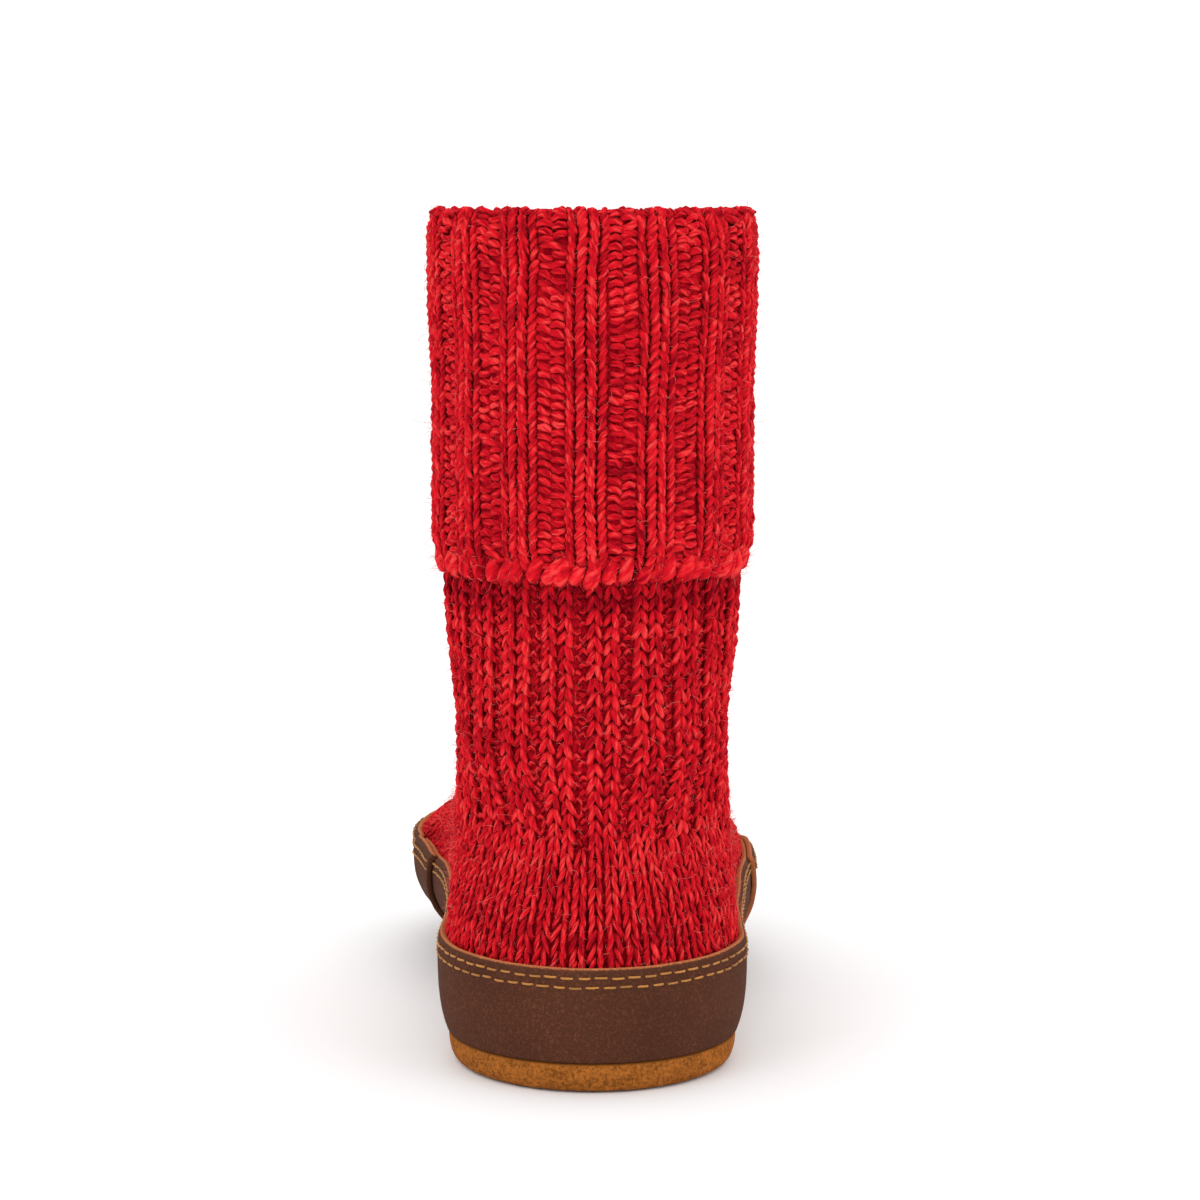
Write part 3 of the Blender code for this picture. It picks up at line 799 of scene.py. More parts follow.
class Strands:
    """Many short tubes that become one mesh, with their yarn map, shade and depth. The depth mask is painted
    light and shade: the wool comes out darker where it is low.
    """

    def __init__(self, sides, flat=0.9):
        self.sides = sides
        self.flat = flat
        self.points = []
        self.quads = []
        self.caps = []
        self.map = []
        self.shade = []
        self.depth = []
        self.total = 0

    def add(self, centres, radii, out, shade, depth):
        """Tubes round centre lines (tube, step, xyz), flattened by flat along out."""
        tubes, steps = centres.shape[:2]
        sides = self.sides
        tangent = unit(np.gradient(centres, axis=1))
        side = unit(np.cross(tangent, out[:, None]))
        top = np.cross(side, tangent)
        turn = 2 * np.pi * (np.arange(sides) - sides / 4) / sides
        reach = radii[:, :, None, None]
        wide = np.cos(turn)[None, None, :, None] * side[:, :, None]
        tall = self.flat * np.sin(turn)[None, None, :, None] * top[:, :, None]
        points = centres[:, :, None] + reach * (wide + tall)
        number = np.arange(tubes * steps * sides).reshape(tubes, steps, sides) + self.total
        after = np.roll(number, -1, axis=2)
        quads = np.stack([number[:, :-1], number[:, 1:], after[:, 1:], after[:, :-1]], axis=-1)
        self.quads.append(quads.reshape(-1, 4))
        self.caps.append(number[:, 0])
        self.caps.append(number[:, -1, ::-1])
        run = np.linalg.norm(np.diff(centres, axis=1), axis=-1)
        length_so_far = np.concatenate([np.zeros((tubes, 1)), np.cumsum(run, axis=1)], axis=1)
        length_so_far += shade[:, None] * 0.37
        here = np.broadcast_to(length_so_far[:, :, None], number.shape)
        share = np.broadcast_to(np.arange(sides) / sides, number.shape)
        lengths = np.stack([here[:, :-1], here[:, 1:], here[:, 1:], here[:, :-1]], axis=-1)
        next_share = share + 1 / sides
        rounds = np.stack([share[:, :-1], share[:, 1:], next_share[:, 1:], next_share[:, :-1]], axis=-1)
        self.map.append(np.stack([lengths, rounds], axis=-1).reshape(-1, 2))
        self.points.append(points.reshape(-1, 3))
        self.shade.append(np.broadcast_to(shade[:, None, None], number.shape).ravel())
        # Painted light and shade: the top of each tube gets a higher depth, so a lighter colour, and its
        # underside a lower one.
        height = depth[:, :, None] + 0.30 * np.sin(turn)
        self.depth.append(np.broadcast_to(height, number.shape).ravel())
        self.total += number.size

    def piece(self, name):
        """The strands as one object."""
        quads = np.concatenate(self.quads)
        corners = np.concatenate([quads.ravel()] + [cap.ravel() for cap in self.caps])
        sizes = [np.full(len(quads), 4)] + [np.full(len(cap), cap.shape[1]) for cap in self.caps]
        sizes = np.concatenate(sizes)
        mesh = bpy.data.meshes.new(name)
        mesh.vertices.add(self.total)
        mesh.vertices.foreach_set("co", np.concatenate(self.points).astype(np.float32).ravel())
        mesh.loops.add(len(corners))
        mesh.loops.foreach_set("vertex_index", corners.astype(np.int32))
        mesh.polygons.add(len(sizes))
        starts = np.concatenate([[0], np.cumsum(sizes)[:-1]])
        mesh.polygons.foreach_set("loop_start", starts.astype(np.int32))
        mesh.update(calc_edges=True)
        yarn = np.concatenate(self.map)
        capped = np.zeros((len(corners) - len(yarn), 2))
        layer = mesh.uv_layers.new(name="yarn")
        layer.uv.foreach_set("vector", np.concatenate([yarn, capped]).astype(np.float32).ravel())
        give_mask(mesh, "shade", np.concatenate(self.shade))
        give_mask(mesh, "depth", np.concatenate(self.depth))
        mesh.shade_smooth()
        piece = bpy.data.objects.new(name, mesh)
        bpy.context.scene.collection.objects.link(piece)
        return piece


# One leg of a knit stitch and one purl bump: shares of the wale's width, the row's height and
# the yarn's radius
YarnPoint = namedtuple("YarnPoint", "across along out thick")
CUFF_LEG = (
    YarnPoint(0.08, -0.92, -1.30, 0.60),
    YarnPoint(0.16, -0.48, -0.25, 0.92),
    YarnPoint(0.24, 0.00, 0.12, 1.05),
    YarnPoint(0.33, 0.48, -0.10, 1.00),
    YarnPoint(0.37, 0.92, -1.10, 0.62),
)
FOOT_LEG = (
    YarnPoint(0.08, -0.80, -1.05, 0.60),
    YarnPoint(0.15, -0.42, -0.18, 0.94),
    YarnPoint(0.23, 0.00, 0.08, 1.05),
    YarnPoint(0.31, 0.42, -0.08, 0.98),
    YarnPoint(0.36, 0.80, -0.85, 0.62),
)
SHAFT_LEG = (
    YarnPoint(0.05, -0.66, -1.25, 0.55),
    YarnPoint(0.12, -0.36, -0.25, 0.92),
    YarnPoint(0.22, 0.00, 0.10, 1.08),
    YarnPoint(0.34, 0.36, -0.10, 1.00),
    YarnPoint(0.43, 0.66, -1.10, 0.58),
)
PURL_BUMP = (
    YarnPoint(-0.50, -0.25, -1.10, 0.60),
    YarnPoint(-0.30, 0.02, -0.15, 0.95),
    YarnPoint(0.00, 0.16, 0.10, 1.08),
    YarnPoint(0.30, 0.02, -0.15, 0.95),
    YarnPoint(0.50, -0.25, -1.10, 0.60),
)

CAST_ON = (
    YarnPoint(0.12, 7.2, -0.9, 0.60),
    YarnPoint(0.07, 5.4, -0.05, 0.90),
    YarnPoint(0.00, 3.0, 0.20, 1.05),
    YarnPoint(-0.05, 0.9, 0.05, 1.10),
    YarnPoint(-0.06, -0.4, -0.8, 1.00),
    YarnPoint(-0.02, 0.4, -1.7, 0.75),
)

# Where stitches sit. turned and upward are across and along with the stitch's own lean
Seats = namedtuple(
    "Seats", "at across along out width height run angle wale turned upward radius shade",
    defaults=(None,) * 7,
)


def chosen(seats, pick):
    """Some of the seats."""
    return Seats(*(None if values is None else values[pick] for values in seats))


def moved(seats, across, along, narrower):
    """The seats moved by shares of their width and height, for narrower bumps."""
    at = (seats.at + seats.across * (across * seats.width)[:, None]
          + seats.along * (along * seats.height)[:, None])
    return seats._replace(at=at, width=seats.width * narrower)


def seats_on(place, lines, pitch, downwards=False):
    """Seats of stitches at even steps along each wale line, with along pointing upwards."""
    small, small_turn = 0.0004, 1e-3
    found = []
    for number, (runs, angles, widths, start) in enumerate(lines):
        steps = np.linalg.norm(np.diff(place(runs, angles), axis=0), axis=1)
        walked = np.concatenate([[0], np.cumsum(steps)])
        count = int(walked[-1] / pitch)
        phase = 0.5 + 0.22 * np.sin(1.9 * number) + 0.15 * np.sin(0.7 * number)
        at = np.arange(count) + phase
        at = at * walked[-1] / count if start == 0 else at * pitch
        pick = [np.interp(at + move, walked, values)
                for move in (-small, 0.0, small) for values in (runs, angles)]
        found.append(np.stack(pick + [np.interp(at, walked, widths), np.full(count, number)]))
    before_run, before_angle, run, angle, after_run, after_angle, width, wale = (
        np.concatenate(found, axis=1)
    )
    along = unit(place(after_run, after_angle) - place(before_run, before_angle))
    up = -along if downwards else along
    turned = unit(place(run, angle + small_turn) - place(run, angle - small_turn))
    out = unit(np.cross(up, turned))
    across = unit(np.cross(up, out))
    height = np.full(len(run), pitch)
    return Seats(place(run, angle), across, np.cross(out, across), out, width, height,
                 run, angle, wale.astype(int))


def with_yarn(seats, yarn, rng):
    """The seats with each stitch's own lean and the radius of its yarn."""
    tilt = rng.normal(0, 0.10, len(seats.at))[:, None]
    return seats._replace(
        turned=unit(seats.across + seats.along * tilt),
        upward=unit(seats.along - seats.across * tilt),
        radius=yarn / 2 * (1 + rng.normal(0, 0.06, len(seats.at))),
    )


def yarn_lines(shape, seats, radius, mirror=1.0):
    """Centre lines and radii of one yarn shape at each seat."""
    across, along, out, thick = np.array(shape).T[:, None]
    centres = (
        seats.at[:, None]
        + seats.turned[:, None] * (across * mirror * seats.width[:, None])[..., None]
        + seats.upward[:, None] * (along * seats.height[:, None])[..., None]
        + seats.out[:, None] * (out * radius[:, None])[..., None]
    )
    return centres, thick * radius[:, None]


def outs(shape):
    """How far the points of a yarn shape stand out, as a row."""
    return np.array([point.out for point in shape])[None]


def even_angles(level, shares):
    """Angles at shares of the way round a level, from the back of the heel."""
    points = surface(level, TABLE_ANGLES)
    walked = np.concatenate([[0], np.cumsum(np.linalg.norm(np.diff(points, axis=0), axis=1))])
    return np.interp(np.mod(shares, 1) * walked[-1], walked, TABLE_ANGLES)


def rib_shares(repeats, widths, turn):
    """Middles of the wales as shares of the way round, with their widths as such shares."""
    widths = np.array(widths) / sum(widths)
    middles = np.cumsum(widths) - widths / 2
    shares = (np.arange(repeats)[:, None] + middles[None]) / repeats
    return (shares + turn).ravel(), np.tile(widths / repeats, repeats)


def cuff_lines():
    """Wale lines of the cuff, evenly round it."""
    knit_share = (CUFF_WIDTHS[0] + CUFF_WIDTHS[1]) / sum(CUFF_WIDTHS)
    turn = CUFF_TURN / (2 * np.pi) - knit_share / 2 / CUFF_REPEATS
    shares, widths = rib_shares(CUFF_REPEATS, CUFF_WIDTHS, turn)
    round_it = 2 * np.pi * (SHAFT_WIDTH + SHAFT_DEPTH) / 4 + 2 * np.pi * CUFF_WALL
    lines = []
    for share, width, angle in zip(shares, widths, even_angles(LAST_RING - 3, shares)):
        waver = 0.010 * np.sin(CUFF_RUNS * 4.1 + 9 * share) + 0.006 * np.sin(CUFF_RUNS * 9.7 + 31 * share)
        angles = angle + waver * np.clip(CUFF_RUNS * 4, 0, 1)
        lines.append((CUFF_RUNS, angles, np.full(len(CUFF_RUNS), width * round_it), 0))
    return lines


class Wale:
    """One wale of shaft and foot, from the step where it sets in."""

    def __init__(self, kind, start=0):
        self.kind = kind
        self.start = start
        self.steps = []

    def line(self):
        levels, angles, widths = np.array(self.steps).T
        return levels, angles, widths, self.start


def gaps_between(level, angles):
    """From each wale to the next one."""
    points = surface(level, angles)
    return np.linalg.norm(np.roll(points, -1, axis=0) - points, axis=1)


def lead_on(wales, level, angles):
    """Takes each wale down to its level and angle."""
    gaps = gaps_between(level, angles)
    widths = (gaps + np.roll(gaps, 1)) / 2
    levels = np.broadcast_to(level, angles.shape)
    for wale, *step in zip(wales, levels, angles, widths):
        wale.steps.append(step)


def foot_level(step, angle):
    """Levels below the ankle, from the ankle ring at step 0 to behind the rand's edge at 1."""
    bottom = read_round(RAND_TOP_LEVELS, angle) - BEHIND_RAND_LEVELS
    return ANKLE_LEVEL + step * (bottom - ANKLE_LEVEL)


def evened(angles, ahead, turn_ahead, weight, share):
    """Each wale nearer to the middle between its neighbours, and drawn round the heel."""
    behind = np.roll(ahead, 1)
    pace = (turn_ahead + np.roll(turn_ahead, 1)) / (ahead + behind)
    pull = (ahead / (weight + np.roll(weight, -1)) - behind / (weight + np.roll(weight, 1))) * weight
    drift = -HEEL_DRIFT / FOOT_STEPS * np.sin(angles) * np.exp(-((share - 0.13) / 0.14) ** 2) * 6
    return angles + WALE_PULL * pull * pace + drift


def gaps_to_fill(ahead, since, rng):
    """The wales after which a new one sets in, none near another new one."""
    limit = settings().knit.wale * (NEW_WALE_AT + NEW_WALE_SPREAD * rng.random(len(ahead)))
    settled = (since > STEPS_BETWEEN) & (np.roll(since, -1) > STEPS_BETWEEN)
    fresh = []
    for i in np.where((ahead > limit) & settled)[0]:
        if not fresh or i - fresh[-1] > STEPS_BETWEEN:
            fresh.append(i)
    return fresh


def foot_lines(rng):
    """Wale lines of shaft and foot, and their kinds. Below the ankle the rings widen, so new
    wales set in where two neighbours have grown too far apart."""
    knit_wale, _, purl_wale = (width / sum(SHAFT_WIDTHS) / SHAFT_REPEATS for width in SHAFT_WIDTHS)
    turn = SHAFT_TURN / (2 * np.pi) + knit_wale + 0.5 * purl_wale
    shares = np.mod(rib_shares(SHAFT_REPEATS, SHAFT_WIDTHS, turn)[0], 1)
    order = np.argsort(shares)
    shares = shares[order]
    weight = np.tile(np.array(SHAFT_WIDTHS) / np.mean(SHAFT_WIDTHS), SHAFT_REPEATS)[order]
    wales = [Wale(kind) for kind in np.tile(RIB_KINDS, SHAFT_REPEATS)[order]]
    made = list(wales)
    top_level = level_at(CUFF_EDGE_HEIGHT + UNDER_CUFF, np.zeros(1))[0]
    for level in np.linspace(top_level, ANKLE_LEVEL, SHAFT_STEPS):
        angles = even_angles(level, shares)
        lead_on(wales, level, angles)
    since = np.full(len(wales), 50)
    for step in range(1, FOOT_STEPS + 1):
        share = step / FOOT_STEPS
        ahead = gaps_between(foot_level(share, angles), angles)
        turn_ahead = np.mod(np.roll(angles, -1) - angles, 2 * np.pi)
        angles = evened(angles, ahead, turn_ahead, weight, share)
        weight = weight + (1 - weight) * 0.04
        fresh = gaps_to_fill(ahead, since, rng)
        since += 1
        for i in reversed(fresh):
            wales.insert(i + 1, Wale(KNIT, step))
            made.append(wales[i + 1])
            angles = np.insert(angles, i + 1, angles[i] + turn_ahead[i] / 2)
            weight = np.insert(weight, i + 1, NEW_WALE_WEIGHT)
            since = np.insert(since, i + 1, 0)
        lead_on(wales, foot_level(share, angles), angles)
    kept = [wale for wale in made if len(wale.steps) > 4]
    return [wale.line() for wale in kept], np.array([wale.kind for wale in kept])


def rib_strength(level, angle):
    """1 in the ribs of the shaft, 0 in the plain knitting of the foot."""
    share = (1 - np.cos(angle)) / 2
    end = RIB_END_LEVEL + RIB_END_RISE * share
    return np.clip((level - end) / RIB_END_SOFTNESS, 0, 1)


def yarn_tones(seats, rng):
    """A tone for each stitch that changes slowly along its row, as the yarn's dye does."""
    height = seats.at[:, 2]
    row = ((height - height.min()) / seats.height).astype(int)
    table = rng.random((row.max() + 1, TONE_CHANGES + 2))
    place = np.mod(seats.angle, 2 * np.pi) / (2 * np.pi) * TONE_CHANGES
    left = place.astype(int)
    share = place - left
    return table[row, left] * (1 - share) + table[row, left + 1] * share


def knit_legs(strands, leg, seats, raised_side, rib, rng, upright):
    """Both legs of each knit stitch. The one on the raised side of its wale lies higher."""
    count = len(seats.at)
    direction = 1.0 if upright else -1.0
    for mirror in (-1.0, 1.0):
        high = (raised_side * mirror > 0) * rib
        low = (raised_side * mirror < 0) * rib
        size = seats.radius * (1 + 0.10 * high - 0.06 * low)
        size = size * np.clip(seats.width / (4.5 * seats.radius), 0.72, 1.0) * rng.uniform(0.9, 1.1, count)
        sunk = 0.50 * MM * low - 0.1 * MM * high + rng.normal(0, 0.16, count) * MM
        laid = seats._replace(
            at=seats.at - seats.out * (size * 0.95 + sunk)[:, None],
            height=direction * seats.height * rng.uniform(0.94, 1.06, count),
        )
        centres, radii = yarn_lines(leg, laid, size, mirror)
        # Painted shade through the depth mask: the ends where a leg dips into the knit, and the sunk legs of a
        # rib, come out darker.
        depth = 0.55 + 0.35 * outs(leg) - 0.18 * low[:, None]
        tone = np.clip(seats.shade + rng.normal(0, 0.12, count), 0, 1)
        strands.add(centres, radii, seats.out, tone, depth)


def purl_bumps(strands, seats, sunk, slant, rng):
    """Purl bumps, each of them slanted by slant and a little at random."""
    count = len(seats.at)
    if not count:
        return
    size = np.minimum(seats.radius * 1.05, seats.height * 0.49) * rng.uniform(0.86, 1.12, count)
    sink = sunk + rng.normal(0, 0.12, count) * MM
    height = seats.height * rng.uniform(0.5, 1.5, count) * rng.choice((-1.0, 1.0, 1.0), count)
    slanted = (slant + rng.normal(0, 0.10, count))[:, None]
    laid = seats._replace(
        at=seats.at - seats.out * (size + sink)[:, None],
        turned=unit(seats.turned + seats.upward * slanted),
        width=seats.width * rng.uniform(0.92, 1.08, count),
        height=height,
    )
    centres, radii = yarn_lines(PURL_BUMP, laid, size)
    # Painted shade through the depth mask: the bump's ends, where it dips into the knit, come out darker.
    depth = np.repeat(0.48 + 0.3 * outs(PURL_BUMP), count, axis=0)
    strands.add(centres, radii, seats.out, seats.shade, depth)


def make_cuff():
    """Knit legs of the turned-down cuff in one piece, and its purl bumps in another."""
    knit = settings().knit
    rng = np.random.default_rng(SEED)
    seats = seats_on(cuff_place, cuff_lines(), knit.cuff_row)
    lifted = np.interp(seats.run, INSIDE_RUNS, INSIDE_LIFTS)[:, None]
    seats = seats._replace(at=seats.at + seats.out * lifted)
    seats = seats._replace(shade=yarn_tones(seats, rng))
    seats = with_yarn(seats, knit.cuff_yarn, rng)
    is_knit = np.tile(RIB_KINDS, CUFF_REPEATS)[seats.wale] == KNIT
    raised_side = np.tile(RAISED_SIDES, CUFF_REPEATS)[seats.wale][is_knit]
    wool = wool_finish("cuff wool", 330.0)
    legs = Strands(sides=6)
    knit_legs(legs, CUFF_LEG, chosen(seats, is_knit), raised_side, 1.0, rng, upright=True)
    finish_piece(legs.piece("cuff_stitches"), wool, "wool")

    sunk = knit.rib_depth * np.clip(3 - 2.4 * seats.run, 0.25, 1)
    slant = (0.16 * np.sin(2.3 * seats.run + 1.7 * seats.wale)
             + 0.10 * np.sin(6.1 * seats.run + 0.9 * seats.wale))
    whole = rng.random(len(seats.at)) < WHOLE_PURLS
    bumps = Strands(sides=6)
    one = ~is_knit & whole
    purl_bumps(bumps, chosen(seats, one), sunk[one], slant[one], rng)
    two = ~is_knit & ~whole
    for side in (-0.25, 0.25):
        half = moved(chosen(seats, two), side, side, 0.58)
        purl_bumps(bumps, half, sunk[two], slant[two] + 0.4 * side, rng)
    finish_piece(bumps.piece("cuff_purls"), wool, "wool")


def shaft_bumps(strands, seats, rng):
    """Two small bumps for each purl stitch of the shaft, one of them higher than the other."""
    # The shaft's purl bumps lie deep between the ribs, so their tone is lowered here, which is painted shade.
    small = seats._replace(radius=seats.radius * 0.66, shade=seats.shade * 0.8)
    for side, step in ((-0.20, 0.22), (0.20, -0.28)):
        purl_bumps(strands, moved(small, side, step, 0.60), 0.45 * MM, side, rng)


def make_foot():
    """Stitches of shaft and foot: round the heel in one piece, over the instep in another."""
    knit = settings().knit
    rng = np.random.default_rng(SEED + 1)
    lines, kinds = foot_lines(rng)
    seats = seats_on(shell_place, lines, knit.shaft_row, downwards=True)
    rib = rib_strength(seats.run + rng.normal(0, 0.12, len(seats.run)), seats.angle)
    in_purl_wale = kinds[seats.wale] == PURL
    is_knit = ~in_purl_wale | (rib <= 0.5)
    sides_of_wales = np.zeros(len(lines), int)
    sides_of_wales[:len(RAISED_SIDES) * SHAFT_REPEATS] = np.tile(RAISED_SIDES, SHAFT_REPEATS)
    raised_side = sides_of_wales[seats.wale]
    yarn = knit.foot_yarn + (knit.shaft_yarn - knit.foot_yarn) * rib
    seats = seats._replace(shade=yarn_tones(seats, rng))
    sunk = (np.where(in_purl_wale, PURL_WALE_DEPTH, 0.0) * rib)[:, None]
    seats = seats._replace(at=seats.at - seats.out * sunk)
    round_heel = np.cos(seats.angle) > INSTEP_FROM
    wool = wool_finish("foot wool", 330.0)
    for name, half, sides in (("heel_stitches", round_heel, 6), ("instep_stitches", ~round_heel, 5)):
        strands = Strands(sides)
        for leg, zone in ((SHAFT_LEG, half & (rib > 0.5)), (FOOT_LEG, half & (rib <= 0.5))):
            part = with_yarn(chosen(seats, zone), yarn[zone], rng)
            knits = is_knit[zone]
            knit_legs(strands, leg, chosen(part, knits), raised_side[zone][knits], rib[zone][knits],
                      rng, upright=False)
            shaft_bumps(strands, chosen(part, ~knits), rng)
        finish_piece(darken_under_cuff(strands.piece(name)), wool, "wool")


def darken_under_cuff(piece):
    """Lowers the depth mask just below the cuff's edge, which keeps the light off."""
    mesh = piece.data
    below = np.clip((CUFF_EDGE_HEIGHT - read_points(mesh)[:, 2]) / SHADE_UNDER_CUFF, 0, 1)
    darker = read_mask(mesh, "depth") - 1.3 * (1 - below) ** 1.6
    mesh.attributes["depth"].data.foreach_set("value", darker.astype(np.float32))
    return piece


def cuff_frame(run, angle, small):
    """Unit vectors up the cuff, round it and out of it."""
    rise = unit(cuff_place(run + small, angle) - cuff_place(run - small, angle))
    turned = unit(cuff_place(run, angle + small) - cuff_place(run, angle - small))
    return rise, turned, unit(np.cross(rise, turned))


def ground_place(round_it, run):
    """Up the shell's outside, down behind the cuff, up its face, over the fold, down inside."""
    angle = 2 * np.pi * round_it
    shell_top = LAST_RING - 0.3
    shell = in_frame(offset(np.clip(run / SHELL_TO, 0, 1) * shell_top, angle, -GROUND_DEPTH))
    down = np.clip((run - SHELL_TO) / (CLEFT_TO - SHELL_TO), 0, 1)
    cleft_end = read_round(CUFF_EDGE_LEVELS, angle) + 0.2
    cleft = in_frame(offset(shell_top + down * (cleft_end - shell_top), angle, CUFF_GAP))
    over = np.clip((run - CLEFT_TO) / (CUFF_TO - CLEFT_TO), 0, 1)
    cuff_run = np.where(over < 0.6, 0.03 + over / 0.6 * 0.97, 1 + (over - 0.6) / 0.4)
    face = cuff_place(cuff_run, angle) - cuff_frame(cuff_run, angle, 1e-4)[2] * GROUND_DEPTH
    level = (LAST_RING - 0.05) * (1 - np.clip((run - CUFF_TO) / (1 - CUFF_TO), 0, 1))
    waves = 0.35 * MM * np.cos(60 * angle) * np.minimum(level / 6, 1)
    inside = in_frame(offset(level, angle, waves - KNIT_WALL))
    points = np.where((run > SHELL_TO)[:, None], cleft, shell)
    points = np.where((run > CLEFT_TO)[:, None], face, points)
    return np.where((run > CUFF_TO)[:, None], inside, points)


def make_ground():
    """The wall of the knit behind its stitches, closed inside and out."""
    piece, shares = laid_grid("knit_ground", 200, 110, ground_place)
    mesh = piece.data
    give_mask(mesh, "round", shares[:, 0])
    give_mask(mesh, "up", read_points(mesh)[:, 2] / settings().knit.shaft_row)
    select(piece)
    bpy.ops.object.mode_set(mode="EDIT")
    bpy.ops.mesh.select_all(action="SELECT")
    bpy.ops.mesh.remove_doubles(threshold=1e-6)
    bpy.ops.mesh.select_all(action="DESELECT")
    bpy.ops.mesh.select_non_manifold(extend=False)
    bpy.ops.mesh.bridge_edge_loops()
    bpy.ops.object.mode_set(mode="OBJECT")
    close_body(piece)
    bpy.ops.object.shade_smooth()
    finish_piece(piece, ground_finish(), "wool", "knit_upper")


def make_cast_on():
    """The thick loops that end the cuff."""
    rng = np.random.default_rng(SEED + 2)
    count = CAST_ON_LOOPS
    shares = (np.arange(count) + rng.uniform(-0.16, 0.16, count)) / count
    angles = even_angles(LAST_RING - 4, shares)
    run = np.zeros(count)
    rise, _, out = cuff_frame(run, angles, 1e-3)
    across = unit(np.cross(rise, out))
    height = MM * rng.uniform(0.72, 1.16, count)
    radius = 1.95 * MM * rng.uniform(0.78, 1.12, count)
    slant = rng.normal(0.10, 0.24, count)
    sunk = (1.15 + rng.normal(0, 0.25, count))[:, None] * MM
    at = cuff_place(run, angles) - out * sunk + rise * rng.normal(0, 0.6, (count, 1)) * MM
    seats = Seats(at, across, rise, out, np.full(count, 4.2 * MM), height,
                  turned=across, upward=unit(rise + across * slant[:, None]))
    centres, radii = yarn_lines(CAST_ON, seats, radius)
    # Painted shade through the depth mask: the parts of each loop that dip inwards come out darker.
    depth = np.repeat(0.55 + 0.25 * outs(CAST_ON), count, axis=0)
    loops = Strands(sides=9)
    loops.add(centres, radii, out, 0.35 + 0.65 * rng.random(count), depth)
    finish_piece(loops.piece("cuff_cast_on"), wool_finish("cast on wool", 260.0), "wool")


def rand_ends():
    """Angles where the toe rand begins, where the heel rand ends, and where it lies level again."""
    return [angle_at(TOE_RAND_FROM + more) for more in (0, RAND_OVERLAP, RAND_OVERLAP + RAND_STEP)]


def toe_step(angle):
    """How far the toe rand stands out over the heel rand's ends."""
    _, heel_to, level_again = rand_ends()
    from_heel = np.minimum(np.mod(angle, 2 * np.pi), 2 * np.pi - np.mod(angle, 2 * np.pi))
    share = np.clip((level_again - from_heel) / (level_again - heel_to), 0, 1)
    return (RAND_THICKNESS + GAP / 2) * share * share * (3 - 2 * share)


def map_strip(mesh, grid, stepped):
    """A map along the strip and down from its top edge. At the toe rand's outer end it counts
    from that end too, which has a cut edge as well."""
    climbed = np.cumsum(np.linalg.norm(np.diff(grid[::-1], axis=0), axis=-1), axis=0)
    below = np.concatenate([np.zeros((1, grid.shape[1])), climbed])[::-1]
    travelled = np.linalg.norm(np.diff(grid[-4], axis=0), axis=-1)
    travelled = np.concatenate([[0], np.cumsum(travelled)])
    if stepped:
        from_outer_end = travelled[-1] - travelled
        below = np.minimum(below, settings().leather.raw_edge / 2 + 2 * from_outer_end[None])
    strip = np.stack([np.broadcast_to(travelled, below.shape), below], axis=-1)
    give_map(mesh, "strip", strip.reshape(-1, 2))


def thicken_strip(piece):
    """The leather's thickness, inwards, and its worn edges."""
    mesh = piece.data
    sample = mesh.polygons[len(mesh.polygons) // 2]
    if np.array(sample.normal) @ (np.array(sample.center) * (1, 1, 0)) < 0:
        mesh.flip_normals()
    select(piece)
    wall = piece.modifiers.new("Wall", "SOLIDIFY")
    wall.thickness = RAND_THICKNESS
    wall.offset = -1.0
    wall.use_even_offset = True
    bpy.ops.object.modifier_apply(modifier="Wall")
    worn = piece.modifiers.new("Worn edge", "BEVEL")
    worn.width = RAND_EDGE_ROUND
    worn.segments = 2
    worn.limit_method = "ANGLE"
    worn.angle_limit = np.radians(50)
    bpy.ops.object.modifier_apply(modifier="Worn edge")
    bpy.ops.object.shade_smooth_by_angle(angle=np.radians(45))


def rand_strip(name, node, start, end, slant, stepped, material):
    """A strip of leather laid round the last from one angle to another."""

    def place(run, rise):
        angle = start + run * (end - start)
        from_end = np.minimum(run, 1 - run) * (end - start)
        ends = np.clip(1 - from_end / 0.10, 0, 1) * slant
        angle = angle - np.where(run < 0.5, ends, -ends) * rise
        eased = rise ** 0.9
        step = toe_step(angle) if stepped else 0.0
        wave = 0.12 * MM * np.sin(angle * 23) * rise
        rolled = 0.75 * MM * np.clip((eased - 0.92) / 0.08, 0, 1) ** 2
        level = eased * read_round(RAND_TOP_LEVELS, angle)
        return in_frame(offset(level, angle, RAND_STACK + step + wave - rolled))

    across = int(round(RAND_COLUMNS_ROUND * (end - start) / (2 * np.pi)))
    piece, shares = laid_grid(name, across, RAND_ROWS, place)
    grid = place(shares[:, 0], shares[:, 1]).reshape(RAND_ROWS + 1, across + 1, 3)
    map_strip(piece.data, grid, stepped)
    thicken_strip(piece)
    finish_piece(piece, material, "nubuck", node)


def make_rands():
    """The strip round the heel, and the one round the toes whose ends lie over it."""
    toe_from, heel_to, _ = rand_ends()
    leather = nubuck_finish()
    slant = RAND_END_SLANT / (FOOT_LENGTH / 2)
    rand_strip("heel_rand_leather", "heel_rand", -heel_to, heel_to, 0.0, False, leather)
    rand_strip("toe_rand_leather", "toe_rand", toe_from, 2 * np.pi - toe_from, slant, True, leather)


def seam_line(start, end, below, stepped):
    """A line on the rand, at a distance below its top edge, and the directions out of it."""
    fine = np.linspace(start, end, 1500)
    top = read_round(RAND_TOP_LEVELS, fine)
    half_level = in_frame(surface(top, fine)) - in_frame(surface(top - 0.5, fine))
    levels = top - below / (np.linalg.norm(half_level, axis=-1) / 0.5)
    stack = RAND_STACK + (toe_step(fine) if stepped else 0.0)
    line = in_frame(offset(levels, fine, stack))
    return line, unit(in_frame(offset(levels, fine, stack + MM)) - line)


